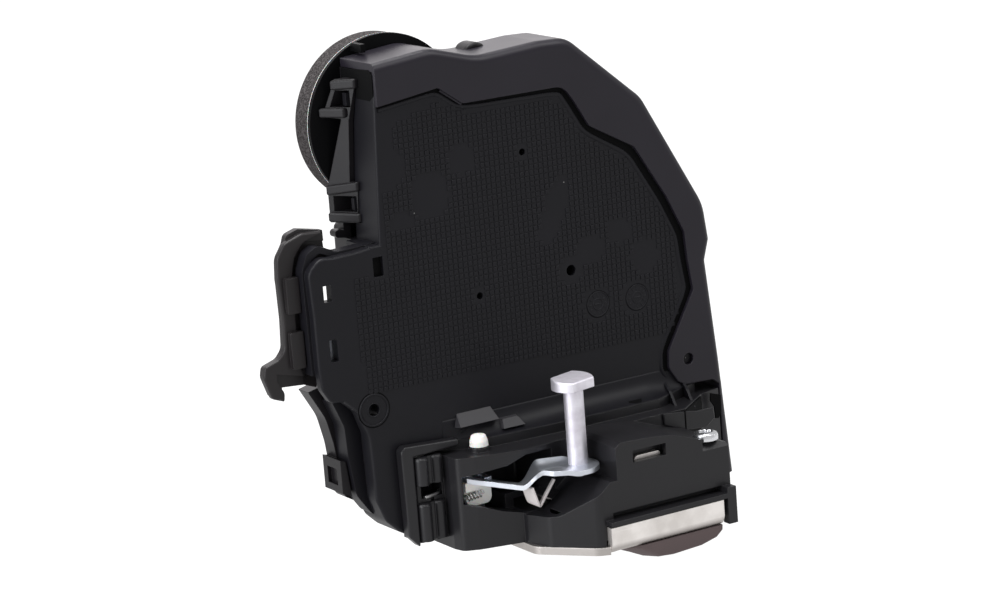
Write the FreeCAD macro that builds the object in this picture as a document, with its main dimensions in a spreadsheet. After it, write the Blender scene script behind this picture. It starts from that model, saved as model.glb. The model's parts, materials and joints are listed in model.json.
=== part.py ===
"""Car door latch with its lock actuator, built as a parametric document of separate pieces.

Frame, in millimetres: Z = 0 is the steel base plate's outer face, which bolts to the door's shut
face, and +Z runs up into the actuator. Y = 0 is the actuator's outboard face, and -Y points out of
it towards the door skin. X = 0 lies between the claw and the pawl, and +X points to the shielded edge.
"""
import FreeCAD, Part
import math
import os

import Sketcher

doc = FreeCAD.newDocument("door_latch_actuator")


# ---------------------------------------------------------------- driving dimensions
SIZES = {
    "wall": (2.0, "moulded wall of the actuator case"),
    "case_deep": (14.0, "outboard case half, front to split line"),
    "cover_deep": (27.0, "inboard cover, outer face from the front"),
    "case_left": (57.8, "case left edge beside the connector"),
    "case_foot": (34.5, "lower edge of the case over the latch"),
    "shield_lip": (1.4, "weather shield lip standing off the case"),
    "shield_deep": (19.0, "depth of the weather shield wall"),
    "disc_x": (43.2, "connector disc centre, left of the origin"),
    "disc_z": (132.0, "connector disc centre height"),
    "disc_r": (26.4, "connector disc radius"),
    "disc_y": (20.0, "front face of the connector disc"),
    "disc_thick": (1.5, "connector disc thickness"),
    "seal_thick": (8.2, "foam seal thickness"),
    "plate": (2.4, "steel base plate thickness"),
    "plate_front": (40.4, "outer face of the base plate's front flange"),
    "flange_tall": (8.5, "height of that flange"),
    "latch_front": (38.0, "front wall of the latch housing"),
    "latch_back": (19.7, "rear wall of the latch housing"),
    "latch_top": (31.5, "top of the latch housing"),
    "roof": (14.4, "ceiling of the claw chamber"),
    "back_thick": (1.6, "steel back plate thickness"),
    "claw_x": (-6.0, "claw pivot"),
    "claw_y": (-3.0, "claw pivot"),
    "claw_r": (18.0, "claw outer radius"),
    "claw_low": (3.2, "underside of claw and pawl"),
    "claw_thick": (5.0, "steel thickness of claw and pawl"),
    "claw_open": (55.0, "degrees from latched to open"),
    "jaw": (10.0, "claw jaw width for the striker"),
    "striker_x": (8.0, "striker path centre line"),
    "slot_wide": (13.0, "striker slot width in the base plate"),
    "pawl_x": (22.0, "pawl pivot"),
    "pawl_y": (-20.0, "pawl pivot"),
    "rivet_r": (4.0, "claw and pawl pivot radius"),
    "running": (0.05, "radial running clearance"),
    "thread_r": (2.55, "tapped M6 hole wall radius"),
    "collar": (5.5, "height of the tapped collars"),
    "lever_x": (-38.0, "outside lever pivot"),
    "lever_z": (18.9, "outside lever pivot height"),
    "lever_thick": (1.5, "outside lever sheet"),
    "stud_x": (-12.6, "outside handle stud"),
    "stud_y": (-26.0, "outside handle stud"),
    "stud_r": (3.05, "stud shaft radius"),
    "stud_top": (54.0, "highest point of the stud's head"),
    "knob_x": (-35.4, "lock shaft axis"),
    "knob_y": (-6.5, "lock shaft axis"),
    "wheel_x": (-8.0, "worm wheel axis"),
    "wheel_z": (89.8, "worm wheel axis height"),
    "wheel_r": (13.0, "worm wheel tip radius"),
    "motor_z": (106.2, "motor and worm axis height"),
    "worm_pitch": (2.164, "worm thread pitch, one wheel tooth"),
    "worm_journal": (1.0, "radius of the worm's shaft"),
    "motor_y": (12.0, "motor and worm axis depth"),
    "inside_x": (-75.0, "inside lever pivot"),
    "inside_z": (68.0, "inside lever pivot height"),
}

sheet = doc.addObject("Spreadsheet::Sheet", "Sizes")
for row, (alias, (value, note)) in enumerate(SIZES.items(), start=1):
    sheet.set(f"A{row}", note)
    sheet.set(f"B{row}", str(value))
    sheet.setAlias(f"B{row}", alias)
doc.recompute()


class Size:
    """A length that knows its value and the sheet formula that it comes from."""

    def __init__(self, value, text):
        self.value = value
        self.text = text

    def __add__(self, other):
        return Size(self.value + number(other), f"({self.text} + {formula(other)})")

    def __radd__(self, other):
        return Size(number(other) + self.value, f"({formula(other)} + {self.text})")

    def __sub__(self, other):
        return Size(self.value - number(other), f"({self.text} - {formula(other)})")

    def __rsub__(self, other):
        return Size(number(other) - self.value, f"({formula(other)} - {self.text})")

    def __mul__(self, other):
        return Size(self.value * number(other), f"({self.text} * {formula(other)})")

    def __truediv__(self, other):
        return Size(self.value / number(other), f"({self.text} / {formula(other)})")

    def __neg__(self):
        return Size(-self.value, f"(-1 * {self.text})")


def number(length):
    return length.value if isinstance(length, Size) else float(length)


def formula(length):
    return length.text if isinstance(length, Size) else repr(float(length))


class Sheet:
    """The sheet's aliases as Size values, such as S.wall."""


S = Sheet()
for alias, (value, note) in SIZES.items():
    setattr(S, alias, Size(value, "Sizes." + alias))


# ---------------------------------------------------------------- sketch and feature helpers
PLANE_AXIS = {"XY_Plane": (2, 1), "XZ_Plane": (1, -1), "YZ_Plane": (0, 1)}


def place_point(sketch, geo, pos, x, y):
    """Dimensions a sketch point from the origin, bound to the sheet where it comes from there."""
    for kind, axis, length in (("DistanceX", -2, x), ("DistanceY", -1, y)):
        if number(length) == 0 and not isinstance(length, Size):
            sketch.addConstraint(Sketcher.Constraint("PointOnObject", geo, pos, axis))
            continue
        index = sketch.addConstraint(Sketcher.Constraint(kind, -1, 1, geo, pos, number(length)))
        if isinstance(length, Size):
            sketch.setExpression(f"Constraints[{index}]", length.text)


def dimension(sketch, kind, geo, length):
    index = sketch.addConstraint(Sketcher.Constraint(kind, geo, number(length)))
    if isinstance(length, Size):
        sketch.setExpression(f"Constraints[{index}]", length.text)


def draw_circle(sketch, x, y, radius):
    centre = FreeCAD.Vector(number(x), number(y), 0)
    geo = sketch.addGeometry(Part.Circle(centre, FreeCAD.Vector(0, 0, 1), number(radius)), False)
    place_point(sketch, geo, 3, x, y)
    dimension(sketch, "Radius", geo, radius)


def rounding(before, corner, after, radius):
    """Arc that rounds a corner: its two ends, its curve, and which of its ends comes first."""
    back = (before - corner).normalize()
    ahead = (after - corner).normalize()
    half = back.getAngle(ahead) / 2
    reach = radius / math.tan(half)
    centre = corner + (back + ahead).normalize() * (radius / math.sin(half))
    enter, leave = corner + back * reach, corner + ahead * reach
    left_turn = ahead.cross(back).z > 0
    first, last = (enter, leave) if left_turn else (leave, enter)
    low = math.atan2(first.y - centre.y, first.x - centre.x)
    high = math.atan2(last.y - centre.y, last.x - centre.x)
    if high < low:
        high += 2 * math.pi
    curve = Part.ArcOfCircle(Part.Circle(centre, FreeCAD.Vector(0, 0, 1), radius), low, high)
    return enter, leave, curve, 1 if left_turn else 2


def draw_outline(sketch, corners):
    """Closed outline; a corner is (x, y), or (x, y, radius) where it is rounded."""
    count = len(corners)
    flat = [FreeCAD.Vector(number(c[0]), number(c[1]), 0) for c in corners]
    arcs = []
    for i, corner in enumerate(corners):
        arc = None
        if len(corner) == 3:
            arc = rounding(flat[i - 1], flat[i], flat[(i + 1) % count], number(corner[2]))
        arcs.append(arc)
    lines = []
    for i in range(count):
        nxt = (i + 1) % count
        start = arcs[i][1] if arcs[i] else flat[i]
        end = arcs[nxt][0] if arcs[nxt] else flat[nxt]
        if (end - start).dot(flat[nxt] - flat[i]) <= 0:
            raise RuntimeError(f"{sketch.Name}: roundings overlap between {flat[i]} and {flat[nxt]}")
        lines.append(sketch.addGeometry(Part.LineSegment(start, end), False))
    for i, corner in enumerate(corners):
        before, after = lines[i - 1], lines[i]
        if arcs[i] is None:
            sketch.addConstraint(Sketcher.Constraint("Coincident", before, 2, after, 1))
            place_point(sketch, after, 1, corner[0], corner[1])
            continue
        arc = sketch.addGeometry(arcs[i][2], False)
        near = arcs[i][3]
        sketch.addConstraint(Sketcher.Constraint("Tangent", before, 2, arc, near))
        sketch.addConstraint(Sketcher.Constraint("Tangent", arc, 3 - near, after, 1))
        dimension(sketch, "Radius", arc, corner[2])
        point = sketch.addGeometry(Part.Point(flat[i]), True)
        sketch.addConstraint(Sketcher.Constraint("PointOnObject", point, 1, before))
        sketch.addConstraint(Sketcher.Constraint("PointOnObject", point, 1, after))
        place_point(sketch, point, 1, corner[0], corner[1])


def new_body(label, at=(0, 0, 0)):
    body = doc.addObject("PartDesign::Body", label)
    body.Label = label
    for name, length in zip("xyz", at):
        if isinstance(length, Size):
            body.setExpression(f"Placement.Base.{name}", length.text)
        else:
            setattr(body.Placement.Base, name, float(length))
    return body


def new_sketch(body, plane, outlines, at=0.0):
    """Sketch on one of the body's own origin planes; at is the offset along the plane's normal."""
    sketch = body.newObject("Sketcher::SketchObject", body.Name + "_sketch")
    origin = next(f for f in body.Origin.OriginFeatures if f.Role == plane)
    sketch.AttachmentSupport = [(origin, "")]
    sketch.MapMode = "FlatFace"
    if isinstance(at, Size):
        sketch.setExpression("AttachmentOffset.Base.z", at.text)
    else:
        sketch.AttachmentOffset = FreeCAD.Placement(FreeCAD.Vector(0, 0, float(at)), FreeCAD.Rotation())
    for outline in outlines:
        if outline[0] == "circle":
            draw_circle(sketch, *outline[1:])
        else:
            draw_outline(sketch, outline)
    return sketch


def extrude(kind, body, plane, outlines, low, high):
    """Pad or Pocket of outlines on a plane, from low to high along the axis across that plane."""
    start = low if PLANE_AXIS[plane][1] > 0 else -high
    feature_sketch = new_sketch(body, plane, outlines, start)
    before = body.Shape.Volume if body.Tip else 0.0
    feature = body.newObject("PartDesign::" + kind, body.Name + "_" + kind.lower())
    feature.Profile = feature_sketch
    length = high - low
    if isinstance(length, Size):
        feature.setExpression("Length", length.text)
    else:
        feature.Length = length
    feature.Reversed = kind == "Pocket"
    doc.recompute([feature_sketch, feature, body])
    change = body.Shape.Volume - before
    if (change < 0) != (kind == "Pocket") or abs(change) < 1e-6:
        raise RuntimeError(f"{body.Label}: a {kind} from {number(low)} to {number(high)} changed nothing")
    return feature


def pad(body, plane, outlines, low, high):
    return extrude("Pad", body, plane, outlines, low, high)


def cut(body, plane, outlines, low, high):
    return extrude("Pocket", body, plane, outlines, low, high)


def box_outline(x0, y0, x1, y1, radius=None):
    corners = [(x0, y0), (x1, y0), (x1, y1), (x0, y1)]
    if radius is None:
        return corners
    return [corner + (radius,) for corner in corners]


def revolve(body, outline):
    """Turns an outline drawn in the body's XZ plane about the body's own Z axis."""
    sketch = new_sketch(body, "XZ_Plane", [outline])
    feature = body.newObject("PartDesign::Revolution", body.Name + "_turned")
    feature.Profile = sketch
    feature.ReferenceAxis = (next(f for f in body.Origin.OriginFeatures if f.Role == "Z_Axis"), [""])
    feature.Angle = 360
    doc.recompute()
    return feature


def path_distance(point, path):
    """Distance from a point to a chain of straight runs."""
    nearest = 1e9
    for a, b in zip(path, path[1:]):
        run = b - a
        share = max(0.0, min(1.0, (point - a).dot(run) / run.dot(run)))
        nearest = min(nearest, (a + run * share - point).Length)
    return nearest


def round_edges(body, radius, wanted, kind="Fillet"):
    """Fillets or chamfers the edges of the body's tip for which wanted(edge) holds."""
    tip = body.Tip
    names = [f"Edge{i}" for i, edge in enumerate(tip.Shape.Edges, start=1) if wanted(edge)]
    if not names:
        raise RuntimeError(f"{body.Label}: no edge to round")
    feature = body.newObject("PartDesign::" + kind, body.Name + "_" + kind.lower())
    feature.Base = (tip, names)
    prop = "Radius" if kind == "Fillet" else "Size"
    if isinstance(radius, Size):
        feature.setExpression(prop, radius.text)
    else:
        setattr(feature, prop, radius)
    doc.recompute()
    return feature


def middle_of(edge):
    return edge.valueAt((edge.FirstParameter + edge.LastParameter) / 2)


def along_front(corners, y, reach=4.0):
    """Picks the edges at depth y that follow a chain of corners in the XZ plane."""
    path = [FreeCAD.Vector(number(c[0]), number(y), number(c[1])) for c in corners]

    def wanted(edge):
        ends = [v.Point for v in edge.Vertexes] + [middle_of(edge)]
        flat = all(abs(p.y - number(y)) < 1e-4 for p in ends)
        return flat and path_distance(middle_of(edge), path) < reach

    return wanted


# ---------------------------------------------------------------- outlines shared by the two case halves
CROWN = [
    (-38, 152.2, 12), (-22.3, 147.7, 20), (0, 148.9, 10), (8.3, 147.8, 8),
    (32.9, 126.1, 9), (53.4, 90, 14), (55.5, 80), (54.2, 74), (57.3, 41, 8),
]
CROWN_INSIDE = [
    (-38, 149.8, 12), (-22.3, 145.3, 20), (0, 146.5, 10), (7.2, 145.5, 6),
    (30.9, 124.9, 8), (51.2, 89.4, 12), (53.2, 80), (52.0, 74), (55.0, 41, 6),
]
LEG = [(-57.3, 7.5), (-61.5, 9.8, 4), (-65.8, 14.0, 5), (-68.6, 21.0, 5), (-69.1, 41, 8), (-71.9, 49.2, 5), (-76.6, 53.6)]
SCREW_SPOTS = [(47.5, 62), (24, 121), (-11.5, 141.5), (-54, 102.5), (-56, 44), (20, 42)]


def actuator_case():
    """Outboard half: the large textured face, its left lobe for the cable, and the leg beside the latch."""
    body = new_body("actuator_case")
    left = -S.case_left
    outline = [(left, 150.4)] + CROWN + [(57.5, S.case_foot), (-57.3, S.case_foot)] + LEG
    outline += [(-70, 56), (-64, 58), (-64, 99), (-60.2, 99)]
    pad(body, "XZ_Plane", [outline], 0.0, 5.0)
    outline = [(left, 150.4)] + CROWN + [(57.5, S.case_foot), (-57.3, S.case_foot)] + LEG[:3]
    outline += [(-67.6, 21, 5), (-68.1, 41, 8), (-64, 56), (-64, 99), (-60.2, 99)]
    pad(body, "XZ_Plane", [outline], 4.5, S.case_deep)
    inside = [(left + S.wall, 147.9)] + CROWN_INSIDE
    inside += [(55, S.case_foot + S.wall), (-62, S.case_foot + S.wall), (-62, 97), (left + S.wall, 97)]
    cut(body, "XZ_Plane", [inside], S.wall, S.case_deep)
    # stepped flank of the leg, up to the split line
    flank = [(-60, 12), (-66.8, 15.4, 4), (-71.4, 22, 5), (-73.2, 35, 20), (-73.6, 44, 8), (-76.9, 52.0), (-72, 54), (-66, 50)]
    pad(body, "XZ_Plane", [flank], 7.4, S.case_deep)
    # lobe: a front plate with a raised rim wrapped round its top left corner
    lobe = [(-60.5, 99), (-68.3, 98.2), (-76, 97.9), (-80.8, 98.4, 4), (-85.0, 94.6, 4), (-84.3, 81), (-84.3, 65.5, 10),
            (-83.7, 58.6, 4), (-81.0, 54.2, 2), (-76.6, 53.6), (-70, 50), (-62, 60)]
    pad(body, "XZ_Plane", [lobe], 0.0, 3.2)
    rim = [(-60.5, 99.4), (-66.9, 99.0), (-74.0, 98.8, 4), (-77.4, 100.8, 2), (-80.2, 101.6, 2), (-83.6, 99.6, 3.5),
           (-85.6, 94.6, 4), (-85.2, 63.0), (-83.4, 63.0), (-83.7, 94.0, 3), (-82.2, 97.6, 2), (-79.4, 99.4, 1.5),
           (-77.4, 98.6, 1), (-74.2, 96.9, 2), (-60.5, 97.4)]
    pad(body, "XZ_Plane", [rim], 3.0, 7.4)
    round_edges(body, 1.0, along_front([(left, 140), (left, 118), (-60.2, 99), (-71, 98)] + lobe[2:9]
                                       + LEG[::-1], 0, 1.5))
    bosses = [("circle", x, z, 3.6) for x, z in SCREW_SPOTS if z < 141]
    pad(body, "XZ_Plane", bosses, S.wall - 0.5, S.case_deep)
    cut(body, "XZ_Plane", [("circle", x, z, 1.35) for x, z in SCREW_SPOTS], 5.0, S.case_deep)
    # holes and slots of the outboard face
    cut(body, "XZ_Plane", [("circle", 6.2, 79.1, 1.7)], -1.0, 3.0)
    cut(body, "XZ_Plane", [("circle", -8.3, 118.7, 1.1), ("circle", -27.1, 77.2, 1.1)], -1.0, 3.0)
    cut(body, "XZ_Plane", [("circle", -67, 49.4, 1.85)], -1.0, 9.0)
    cut(body, "XZ_Plane", [box_outline(-63.2, 89.5, -59.7, 95.5)], -1.0, 1.4)
    cut(body, "XZ_Plane", [box_outline(-80.6, 85, -77.9, 90), box_outline(-80.0, 66.6, -77.4, 73.4)], -1.0, 4.0)
    # low pads beside the lever chamber
    pad(body, "XZ_Plane", [box_outline(-38, 34.5, -24, 37.5, 0.6), box_outline(-20, 34.5, -6, 37.2, 0.6)], -0.8, 0.5)
    # catches that the two clip loops of the inboard half snap over
    pad(body, "YZ_Plane", [[(11.9, 139.9), (13.9, 139.9), (13.9, 143.7), (11.9, 143.7)],
                           [(12.3, 108.0), (13.9, 108.0), (13.9, 111.6), (12.3, 111.6)]], -61.0, left)
    # post that carries the free end of the worm's shaft
    pad(body, "XZ_Plane", [box_outline(-22.0, 102.5, -19.0, 110.0)], S.wall - 0.5, 16.0)
    cut(body, "YZ_Plane", [("circle", S.motor_y, S.motor_z, S.worm_journal + S.running)], -22.5, -18.5)
    # pivot post for the inside lever, behind the lobe
    pad(body, "XZ_Plane", [("circle", S.inside_x, S.inside_z, 2.0)], 3.0, 9.5)
    return body


def weather_shield():
    """Moulded shield that wraps the top and right edge and laps over the outboard face."""
    body = new_body("weather_shield")
    outer = [
        (-58, 153.2), (-38, 155, 14), (-22, 150.3, 22), (0, 151.6, 12), (10.4, 151.2, 10),
        (36.2, 128.9, 11), (56.9, 91.6, 16), (58.3, 80, 2), (56.3, 73.4, 2), (59.2, 41, 20), (62.0, 3),
    ]
    inner = [(58.0, 3), (57.8, 41, 8), (54.7, 74), (56.0, 80), (53.9, 90.2, 14), (33.3, 126.4, 9)]
    inner += [(8.5, 148.3, 8), (0, 149.2, 10), (-22.3, 148.0, 20), (-38, 152.5, 12), (-58, 150.7)]
    pad(body, "XZ_Plane", [outer + inner], -S.shield_lip, S.shield_deep)
    step = [
        (58.0, 3), (57.9, 33), (55.5, 34.8, 1), (44.6, 35.2, 1), (42.3, 36.7), (39.2, 41.5, 2.5), (39.6, 47, 3),
        (50.3, 65, 2), (48.9, 75, 2), (48.3, 84, 4), (42.4, 96.5, 6), (31.7, 114, 3), (15.8, 123, 3),
        (10.9, 131.5, 3), (7.2, 136.8, 6), (-28.6, 137, 2), (-36.8, 143, 2), (-58, 140.4),
    ]
    pad(body, "XZ_Plane", [outer + step], -S.shield_lip, 0.0)
    round_edges(body, 2.6, along_front(outer, -S.shield_lip, 1.5))
    # screw hole in the lower ear
    cut(body, "XZ_Plane", [("circle", 46.7, 43.2, 1.9)], -2.0, 1.0)
    return body


def case_cover():
    """Inboard half: closes the case, stepped back where the connector passes, with a bulged lower left corner."""
    body = new_body("case_cover")
    left = -S.case_left
    step = S.disc_y - S.case_deep
    outline = [(left, 150.4)] + CROWN + [(57.5, S.case_foot), (-57.3, S.case_foot), (-57.3, 17)]
    bulge = [(-66.4, 17.2, 4), (-72.2, 20.6, 3), (-74.2, 37.5, 20), (-76.2, 46, 12), (-81.4, 55.2), (-76.2, 56.4),
             (-70, 54, 4), (-62, 60)]
    pad(body, "XZ_Plane", [outline + bulge + [(-62, 99), (left, 99)]], S.case_deep, S.disc_y)
    deep = [(-14, 147.9, 2), (0, 148.9, 10), (8.3, 147.8, 8), (32.9, 126.1, 9), (53.4, 90, 14), (55.5, 80), (54.2, 74),
            (57.3, 41, 8), (57.5, S.case_foot), (-57.3, S.case_foot), (-57.3, 17, 3), (-65.4, 18.0, 4), (-69.4, 23, 4),
            (-71.2, 40, 12), (-62, 58, 6), (-62, 103, 2), (-14, 103, 2)]
    pad(body, "XZ_Plane", [deep], S.disc_y, S.cover_deep)
    round_edges(body, 3.0, along_front(deep + deep[:1], S.cover_deep, 3.0))
    cut(body, "XZ_Plane", [[(left + S.wall, 147.9)] + CROWN_INSIDE + [(55, 37), (-60, 37), (-60, 97), (-55.8, 97)]],
        S.case_deep, S.disc_y - S.wall)
    room = [(-12, 144, 2), (0, 146, 8), (6.6, 145, 6), (30.4, 124, 8), (50.8, 89, 12), (52.8, 80), (51.6, 74),
            (54.4, 41, 6), (54.4, 37), (-60, 37), (-60, 101, 2), (-12, 101, 2)]
    cut(body, "XZ_Plane", [room], S.disc_y - S.wall, S.cover_deep - S.wall)
    # loops that flare out from the split line and snap over the catches, joined by a tapering web
    flare = [(left, 8.4), (-65.4, S.disc_y), (left, S.disc_y)]
    pad(body, "XY_Plane", [flare], 104.0, 147.8)
    cut(body, "XZ_Plane", [[(-60.4, 99), (-58.1, 150.4), (-50, 150.4), (-50, 99)]], 5.0, S.case_deep)
    for spare in ([(15.6, 149), (15.6, 147.4), (19.8, 136.2), (14.6, 135.8), (14.6, 135.2), (19.8, 115.2), (22, 115.2),
                   (22, 149)],
                  [(0, 117), (13.6, 116.5), (12.4, 135.8), (0, 135.8)],
                  [(0, 147.9), (9.5, 147.9), (12.2, 136.2), (12.2, 135.6), (0, 135.6)]):
        cut(body, "YZ_Plane", [spare], -66.5, left)
    for window in ([(11.6, 139.3), (17.4, 139.3), (15.6, 144.4), (11.6, 144.4)], box_outline(12.1, 107.4, 18.6, 112.2)):
        cut(body, "YZ_Plane", [window], -66.5, left)
    pad(body, "XZ_Plane", [[(-66, 99.8, 1.1), (-66, 102.2, 1.1), (-60.5, 101.4), (-60.5, 98.9)]], 16.6, S.disc_y)
    pad(body, "XZ_Plane", [box_outline(-63.0, 99.5, -60.5, 106)], 16.6, S.disc_y)
    # loop over the leg's flank
    pad(body, "XZ_Plane", [[(-75.2, 33.4), (-68.5, 31.6), (-68.5, 20.2), (-75.2, 23.0)]], S.case_deep, S.disc_y)
    pad(body, "XZ_Plane", [[(-75.2, 33.4), (-73.3, 32.9), (-72.2, 21.8), (-75.2, 23.0)]], 9.0, S.case_deep + 0.5)
    cut(body, "YZ_Plane", [box_outline(11.5, 25.2, 17.5, 30.4)], -76.0, -73.9)
    bosses = [("circle", x, z, 3.6) for x, z in SCREW_SPOTS]
    pad(body, "XZ_Plane", bosses, S.case_deep, S.cover_deep)
    cut(body, "XZ_Plane", [("circle", x, z, 1.7) for x, z in SCREW_SPOTS], S.case_deep, S.cover_deep)
    return body


def connector_housing():
    """Round flange with a locating peg on its rim and the plug socket behind, open inboard."""
    body = new_body("connector_housing")
    x, z = -S.disc_x, S.disc_z
    back = S.disc_y + S.disc_thick
    pad(body, "XZ_Plane", [("circle", x, z, S.disc_r)], S.disc_y, back)
    pad(body, "XZ_Plane", [box_outline(x - 13, z - 7.5, x + 13, z + 7.5, 2.5)], back, back + 12.0)
    cut(body, "XZ_Plane", [box_outline(x - 11.5, z - 6, x + 11.5, z + 6, 1.5)], back + 1.0, back + 12.0)
    pad(body, "XZ_Plane", [box_outline(-53.4, 154.5, -51.8, 157)], 14.0, S.disc_y)
    return body


def connector_seal():
    """Closed-cell foam ring bonded to the back of the connector flange."""
    body = new_body("connector_seal")
    x, z = -S.disc_x, S.disc_z
    back = S.disc_y + S.disc_thick
    outline = [("circle", x, z, S.disc_r - 0.3), box_outline(x - 14, z - 8.5, x + 14, z + 8.5, 3)]
    pad(body, "XZ_Plane", outline, back, back + S.seal_thick)
    return body


def connector_terminals():
    """Two rows of blade terminals standing in the plug socket."""
    x, z = -S.disc_x, S.disc_z
    blades = []
    for i in range(5):
        for j in (-1, 1):
            cx, cz = x + (i - 2) * 4.2, z + j * 2.6
            blades.append(box_outline(cx - 0.8, cz - 0.4, cx + 0.8, cz + 0.4))
    shapes = []
    base = number(S.disc_y + S.disc_thick) + 1.0
    for blade in blades:
        low = FreeCAD.Vector(number(blade[0][0]), base, number(blade[0][1]))
        shapes.append(Part.makeBox(1.6, 6.0, 0.8, low))
    feature = doc.addObject("Part::Feature", "connector_terminals")
    feature.Shape = Part.makeCompound(shapes)
    return feature


def cable_cover():
    """Bent cover over the inside handle's cable, clipped round the lobe's rim."""
    body = new_body("cable_cover")
    front = [
        (-75.8, 105.0), (-82.4, 105.4, 5), (-88.4, 103.4, 4), (-91.4, 99.2, 5), (-91.8, 93), (-91.1, 80, 30),
        (-91.5, 71.2, 4), (-94, 68.8, 3), (-98.6, 67.4, 1.5), (-99.2, 64.0, 3), (-96.9, 57.4, 1.5), (-93.2, 56.0),
        (-92.9, 58.6, 2), (-95.0, 62.4, 1), (-94.9, 64.8), (-86.0, 62.6), (-87.2, 66.4, 2), (-87.1, 92.6, 8),
        (-85.8, 98.6, 6), (-82.6, 102.6, 4), (-79.4, 103.6, 5), (-75.8, 104.4),
    ]
    pad(body, "XZ_Plane", [front], 6.8, 9.0)
    rear = [
        (-74.6, 104.9), (-82.8, 106.6, 1.5), (-86.8, 105.4, 2), (-87.6, 102.8, 2), (-90.2, 98.6, 4), (-90.7, 92),
        (-90.4, 80, 30), (-90.8, 71.2, 4), (-93, 68.6, 3), (-98.0, 67.0, 1.5), (-98.6, 64.0, 3), (-96.4, 57.6, 1.5),
        (-93.4, 56.8), (-92.7, 60.0), (-85.2, 59.4), (-85.2, 64.0), (-87.2, 66.4, 2), (-87.1, 92.6, 8),
        (-85.8, 98.6, 6), (-82.6, 102.6, 4), (-74.5, 101.6),
    ]
    pad(body, "XZ_Plane", [rear], 8.6, 11.0)
    round_edges(body, 0.8, along_front(front[:12], 6.8, 0.6))
    # clip tabs that wrap the lobe's rim
    for low, high in ((82.2, 93.0), (65.4, 76.6)):
        pad(body, "XZ_Plane", [box_outline(-90.0, low, -85.7, high, 0.4)], 5.2, 8.0)
    return body


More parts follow.
